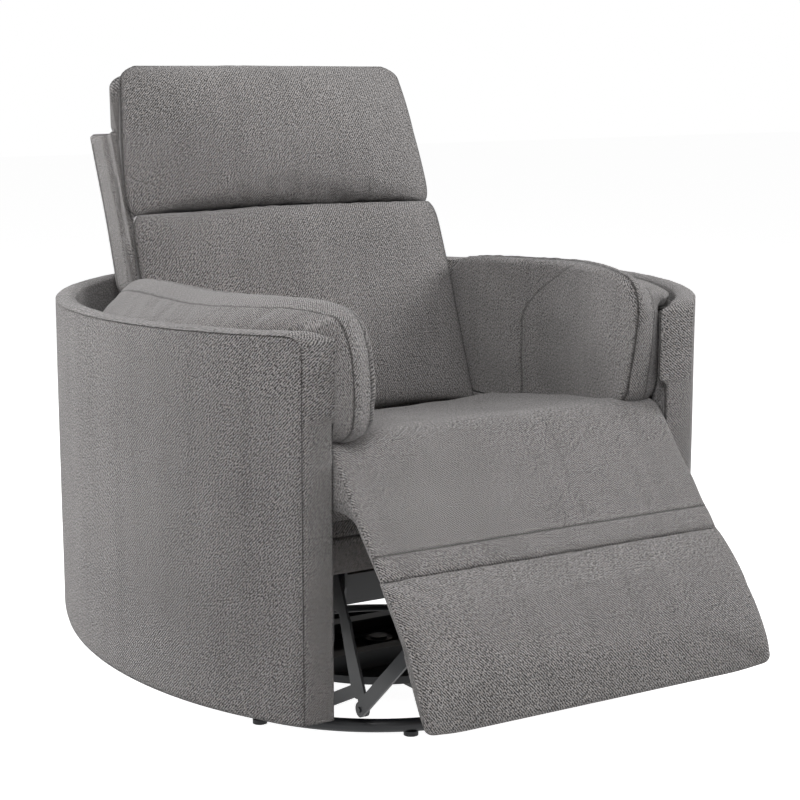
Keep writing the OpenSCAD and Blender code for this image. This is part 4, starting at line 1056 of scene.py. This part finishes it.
class RECLINER_OT_seat_cover(bpy.types.Operator):
    """Seat cushion and footrest flap under one cover, which bends at the fold"""

    bl_idname = "recliner.seat_cover"
    bl_label = "Seat cover"

    def execute(self, context):
        half = sizes().seat_half / MM
        length = np.linalg.norm(CREASE - FOLD)
        down = (CREASE - FOLD) / length
        behind = np.array([-down[1], down[0]])
        stitch = np.array([-454.5, 329.5])
        count = 300
        top = smooth_path([[107, 372], [108, 393], [98, 408], [42, seat_height(42) + 3],
                           [-60, seat_height(-60) + 4], [-170, seat_height(-170) + 5],
                           [-262, seat_height(-262) + 4], [-306, 471], [-332, 466], [-352, 449],
                           FOLD + down * 2 - behind * 1.5, mix(FOLD, CREASE, 0.35) - behind * 2.5,
                           mix(FOLD, CREASE, 0.64) - behind * 1, stitch,
                           CREASE - down * 10 - behind * 2.2, CREASE - down * 3 - behind * 0.5,
                           CREASE - down * 0.6 + behind * 4, CREASE - down * 0.6 + behind * 9], count)
        low = smooth_path([[107, 370], [104, 354], [96, 347], [-100, 346], [-240, 347], [-276, 360],
                           [-300, 367], [-330, 352], FOLD + behind * 46,
                           mix(FOLD, CREASE, 0.35) + behind * 40, mix(FOLD, CREASE, 0.7) + behind * 38,
                           CREASE - down * 9 + behind * 33, CREASE - down * 1.5 + behind * 24,
                           CREASE - down * 0.8 + behind * 10], count)
        loop = np.vstack([top, low[::-1]])
        share = across_width(half, 84)
        x = share[:, None] * half
        # Ahead of the arms the underside rises towards the sides, to a thin edge
        depth = np.maximum((loop - FOLD) @ behind, 0)
        ahead = ease((-345 - loop[:, 0]) / 45)
        upper = np.arange(2 * count) < count
        thinned = ahead * np.where(upper, depth > 3, True)
        thin = 0.84 * ease((np.abs(x) - half + 74) / 74) * thinned
        rolled = 1 - np.sqrt(np.clip(1 - np.clip((np.abs(x) - half + 7) / 7, 0, 1) ** 2, 0, 1))
        place = loop_length(loop)[0]
        sewn = ridge(place, place[np.argmin(np.linalg.norm(loop - stitch, axis=1))], 1.7)
        y, z = np.moveaxis(loop[None] - behind * (depth * thin)[..., None], 2, 0)
        z = z - 4.5 * rolled * upper
        corner = ease((y + 220) / 240) * ease((np.abs(x) - 190) / 80)
        z = z + 6 * corner * ease((z - 385) / 15) * upper
        rows = np.stack([np.broadcast_to(x, y.shape), y, z], axis=2)
        dent = near_place(loop, [-262, seat_height(-262) + 4], 16)
        dent = dent * ease((half - 60 - np.abs(x)) / 120)
        tuck = near_place(loop, CREASE - down * 5 - behind, 11)
        gather = tuck * (0.4 + 0.6 * ripple(x, place * 0.2, 71, 40, 2))
        soft = ease((rows[..., 2] - 340) / 40) * upper
        amount = -1.3 * sewn - 1.2 * dent - 1.6 * gather + 1.6 * ripple(x, place, 72, 230, 3) * soft
        tangent = np.roll(rows, -1, axis=1) - np.roll(rows, 1, axis=1)
        out = unit(np.stack([0 * tangent[..., 0], -tangent[..., 2], tangent[..., 1]], axis=2))
        out *= np.sign(out[:, 90:120, 2].mean())
        rows = rows + out * amount[..., None]
        station = np.arange(len(share))
        edge = ridge(station, 1, 0.6) + ridge(station, len(share) - 2, 0.6)
        seam = np.maximum(0.9 * sewn, 0.25 * edge[:, None] * upper)
        obj = new_skin("seat_cover", rows, seam, ends="ladder", material=MATERIALS["cloth"])
        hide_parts("seat_cushion", "footrest_flap")
        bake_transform(obj)
        return {"FINISHED"}


class RECLINER_OT_footrest_pad(bpy.types.Operator):
    """Footrest pad: crowned face, bullnose lower end and thin sides, round its board"""

    bl_idname = "recliner.footrest_pad"
    bl_label = "Footrest pad"

    def execute(self, context):
        half = sizes().seat_half / MM + 1.5
        loop = smooth_loop(shares([[-0.012, 0.55], [-0.016, 0.25], [-0.006, 0.07], [0.03, -0.04],
                                   [0.2, -0.12], [0.5, -0.15], [0.8, -0.12], [0.93, -0.05], [0.985, 0.1],
                                   [1.0, 0.35], [0.985, 0.62], [0.93, 0.82], [0.84, 0.97], [0.7, 1.0],
                                   [0.4, 1.0], [0.1, 1.0], [0.02, 0.9]], 1, 211, 0, 36.5), 220)
        x = (across_width(half, 84) * half)[:, None]
        draw = np.clip((np.abs(x) - half + 80) / 80, 0, 1)
        rolled = 1 - np.sqrt(1 - np.clip((np.abs(x) - half + 14) / 14, 0, 1) ** 2)
        behind = loop[None, :, 1]
        thin = np.where(behind > 3, 3 + (behind - 3) * (1 - 0.93 * ease(draw) ** 1.3), behind)
        thin = thin + (4 - thin) * 0.75 * rolled
        lower = ease((loop[None, :, 0] - 150) / 50)
        along = loop[None, :, 0] - lower * (11 * rolled + 1.5 * draw**4)
        widen = 1 + 0.016 * ease(along / 190) + 0.008 * ease((along - 120) / 90)
        crown = 16 * np.sin(np.pi * np.clip(along / 211, 0, 1)) ** 0.8
        rows = np.stack([x * widen, along, thin - crown], axis=2)
        rows = close_sides(rows, 1)[0]
        xx = rows[:, :1, 0]
        place = loop_length(loop)[0][None, :]
        front = ease((16 - rows[..., 2]) / 20)
        gather = np.exp(-np.abs(rows[..., 1]) / 16) * (0.4 + 0.6 * ripple(xx, place * 0.1, 81, 42, 2))
        amount = (1.4 * ripple(xx, place, 82, 220, 3) - 1.8 * gather) * front
        rows = to_footrest(pushed(rows, amount))
        obj = new_skin("footrest_pad_cover", rows, material=MATERIALS["cloth"])
        held = np.append((1 - front).ravel(), [1, 1])
        fill(obj, np.clip(held, 0, 1), sizes().puff * 0.4)
        dress(obj, "footrest", "fabric", "footrest_pad", padded=0.7)
        return {"FINISHED"}


class RECLINER_OT_apron(bpy.types.Operator):
    """Fabric apron under the seat front, with one level seam"""

    bl_idname = "recliner.apron"
    bl_label = "Apron"

    def execute(self, context):
        half = 283
        loop = smooth_loop([[-299, 268], [-301, 290], [-301, 320], [-300, 350], [-298, 363], [-291, 363],
                            [-288.5, 350], [-288.5, 310], [-288.5, 275], [-292, 267]], 120)
        rows = rounded_across(half, loop, np.array([-294, 315]), (0.01, 0.3), 12)
        rows = close_sides(rows, 0.5, 3)[0]
        seam = near_place(loop, [-301, 318], 2.2)[None, :] * np.ones((len(rows), 1))
        sag = 2.2 * ripple(rows[:, :1, 0], rows[..., 2], 91, 130, 2) * (rows[..., 1] < -296)
        rows[..., 1] += -sag * 0.6 + 1.6 * seam
        obj = new_skin("apron_cover", rows, seam, material=MATERIALS["cloth"])
        dress(obj, "seat", "fabric", "front_panel")
        return {"FINISHED"}


# Frame, base and mechanism
# Pieces painted black whatever their slot
PAINTED_PINS = ("glide_links_front", "glide_links_rear", "slide_tracks", "slide_runners", "mechanism_pins",
                "knee_pins", "pivot_post", "post_washer")


class RECLINER_OT_frame_finishes(bpy.types.Operator):
    """Paint, plating, nylon and timber on the CAD pieces that show as they are"""

    bl_idname = "recliner.frame_finishes"
    bl_label = "Frame finishes"

    def execute(self, context):
        slots = {p["node"]: p["material_slot"] for p in frame["record"]["subparts"]}
        for name, obj in frame["nodes"].items():
            finish = "lining" if slots[name] == "fabric" or name.startswith("arm_shelves") else slots[name]
            material = MATERIALS["black_steel" if name in PAINTED_PINS else finish]
            obj.data.materials.clear()
            obj.data.materials.append(material)
        return {"FINISHED"}


# Studio
# The photograph's camera: its place in millimetres, and its focal length in pixels of an 800 pixel picture
EYE = Vector((-1613.395, -2628.095, 1001.002))
FOCAL_PIXELS = 1993.298
# Round lamps: place, height on the chair's axis at which they aim, size and power
LAMPS = {
    "softbox_top": ((0.1, -0.2, 2.6), 0.4, 2.6, 18),
    "softbox_left": ((-2.6, 0.0, 1.3), 0.5, 1.6, 15),
    "softbox_rear": ((-2.0, 2.2, 1.5), 0.5, 1.6, 75),
    "softbox_right": ((2.5, -0.9, 1.9), 0.5, 1.8, 62),
    "softbox_front": ((0.6, -3.0, 1.5), 0.4, 1.8, 9),
    "softbox_high": ((-1.2, -1.6, 2.4), 0.4, 1.2, 40),
}
# Light from the surroundings, and the share of white that the floor shows by itself
ROOM_LIGHT, FLOOR_LIFT = 0.03, 0.96


class RECLINER_OT_studio(bpy.types.Operator):
    """Camera at the photograph's place, soft lamps, pale floor and white surroundings"""

    bl_idname = "recliner.studio"
    bl_label = "Studio"

    def execute(self, context):
        scene = context.scene
        camera = bpy.data.objects.new("camera", bpy.data.cameras.new("camera"))
        scene.collection.objects.link(camera)
        camera.data.sensor_width = 36
        camera.data.lens = FOCAL_PIXELS * 36 / 800
        azimuth, pitch = np.radians(32.188), np.radians(10.235)
        ahead = Vector((np.sin(azimuth) * np.cos(pitch), np.cos(azimuth) * np.cos(pitch), -np.sin(pitch)))
        camera.location = (EYE + Vector((0, STAND_BACK, 0))) * MM
        camera.rotation_mode = "QUATERNION"
        camera.rotation_quaternion = ahead.to_track_quat("-Z", "Y")
        camera.data.clip_start, camera.data.clip_end = 0.05, 100
        scene.camera = camera

        for name, (at, aim_height, size, power) in LAMPS.items():
            lamp = bpy.data.objects.new(name, bpy.data.lights.new(name, "AREA"))
            lamp.data.shape, lamp.data.size, lamp.data.energy = "DISK", size, power
            lamp.location = at
            lamp.rotation_mode = "QUATERNION"
            aim = Vector((0, 0, aim_height)) - Vector(at)
            lamp.rotation_quaternion = aim.to_track_quat("-Z", "Y")
            scene.collection.objects.link(lamp)

        world = bpy.data.worlds.new("studio")
        scene.world = world
        world.use_nodes = True
        tree = world.node_tree
        tree.nodes.clear()
        out = tree.nodes.new("ShaderNodeOutputWorld")
        mixer = tree.nodes.new("ShaderNodeMixShader")
        tree.links.new(background_rays(tree), mixer.inputs[0])
        for socket, strength in ((1, ROOM_LIGHT), (2, 1.0)):
            light = tree.nodes.new("ShaderNodeBackground")
            light.inputs["Color"].default_value = (1, 1, 1, 1)
            light.inputs["Strength"].default_value = strength
            tree.links.new(light.outputs[0], mixer.inputs[socket])
        tree.links.new(mixer.outputs[0], out.inputs[0])

        mesh = bpy.data.meshes.new("floor")
        reach = 14.0
        corners = [(x * reach, y * reach, 0) for x, y in ((-1, -1), (1, -1), (1, 1), (-1, 1))]
        mesh.from_pydata(corners, [], [(0, 1, 2, 3)])
        floor = bpy.data.objects.new("floor", mesh)
        scene.collection.objects.link(floor)
        material, nodes, shader = new_material("studio_floor")
        shader.inputs["Base Color"].default_value = tuple(sizes().floor) + (1.0,)
        shader.inputs["Roughness"].default_value = 1.0
        shader.inputs["Specular IOR Level"].default_value = 0.0
        shader.inputs["Emission Color"].default_value = (1, 1, 1, 1)
        lift = math_node(nodes, "MULTIPLY", background_rays(nodes), FLOOR_LIFT)
        nodes.links.new(lift, shader.inputs["Emission Strength"])
        mesh.materials.append(material)
        scene.view_settings.view_transform = "Standard"
        return {"FINISHED"}


class RECLINER_PT_panel(bpy.types.Panel):
    """Lists the recliner's pieces and sizes"""

    bl_label = "Recliner"
    bl_idname = "RECLINER_PT_panel"
    bl_space_type = "VIEW_3D"
    bl_region_type = "UI"
    bl_category = "Recliner"

    def draw(self, context):
        column = self.layout.column()
        for name in ReclinerSizes.__annotations__:
            column.prop(context.scene.recliner_sizes, name)
        for operator in PIECES:
            column.operator(operator.bl_idname)


PIECES = (
    RECLINER_OT_studio,
    RECLINER_OT_frame_finishes,
    RECLINER_OT_barrel,
    RECLINER_OT_front_bands,
    RECLINER_OT_arm_pillows,
    RECLINER_OT_back_shell,
    RECLINER_OT_lumbar_cushion,
    RECLINER_OT_head_pillow,
    RECLINER_OT_seat_cover,
    RECLINER_OT_footrest_pad,
    RECLINER_OT_apron,
)


def register():
    for cls in (ReclinerSizes, *PIECES, RECLINER_PT_panel):
        bpy.utils.register_class(cls)
    bpy.types.Scene.recliner_sizes = PointerProperty(type=ReclinerSizes)


def unregister():
    del bpy.types.Scene.recliner_sizes
    for cls in (RECLINER_PT_panel, *reversed(PIECES), ReclinerSizes):
        bpy.utils.unregister_class(cls)


def main():
    register()
    make_materials()
    for operator in PIECES:
        group, name = operator.bl_idname.split(".")
        getattr(getattr(bpy.ops, group), name)()


if __name__ == "__main__":
    main()
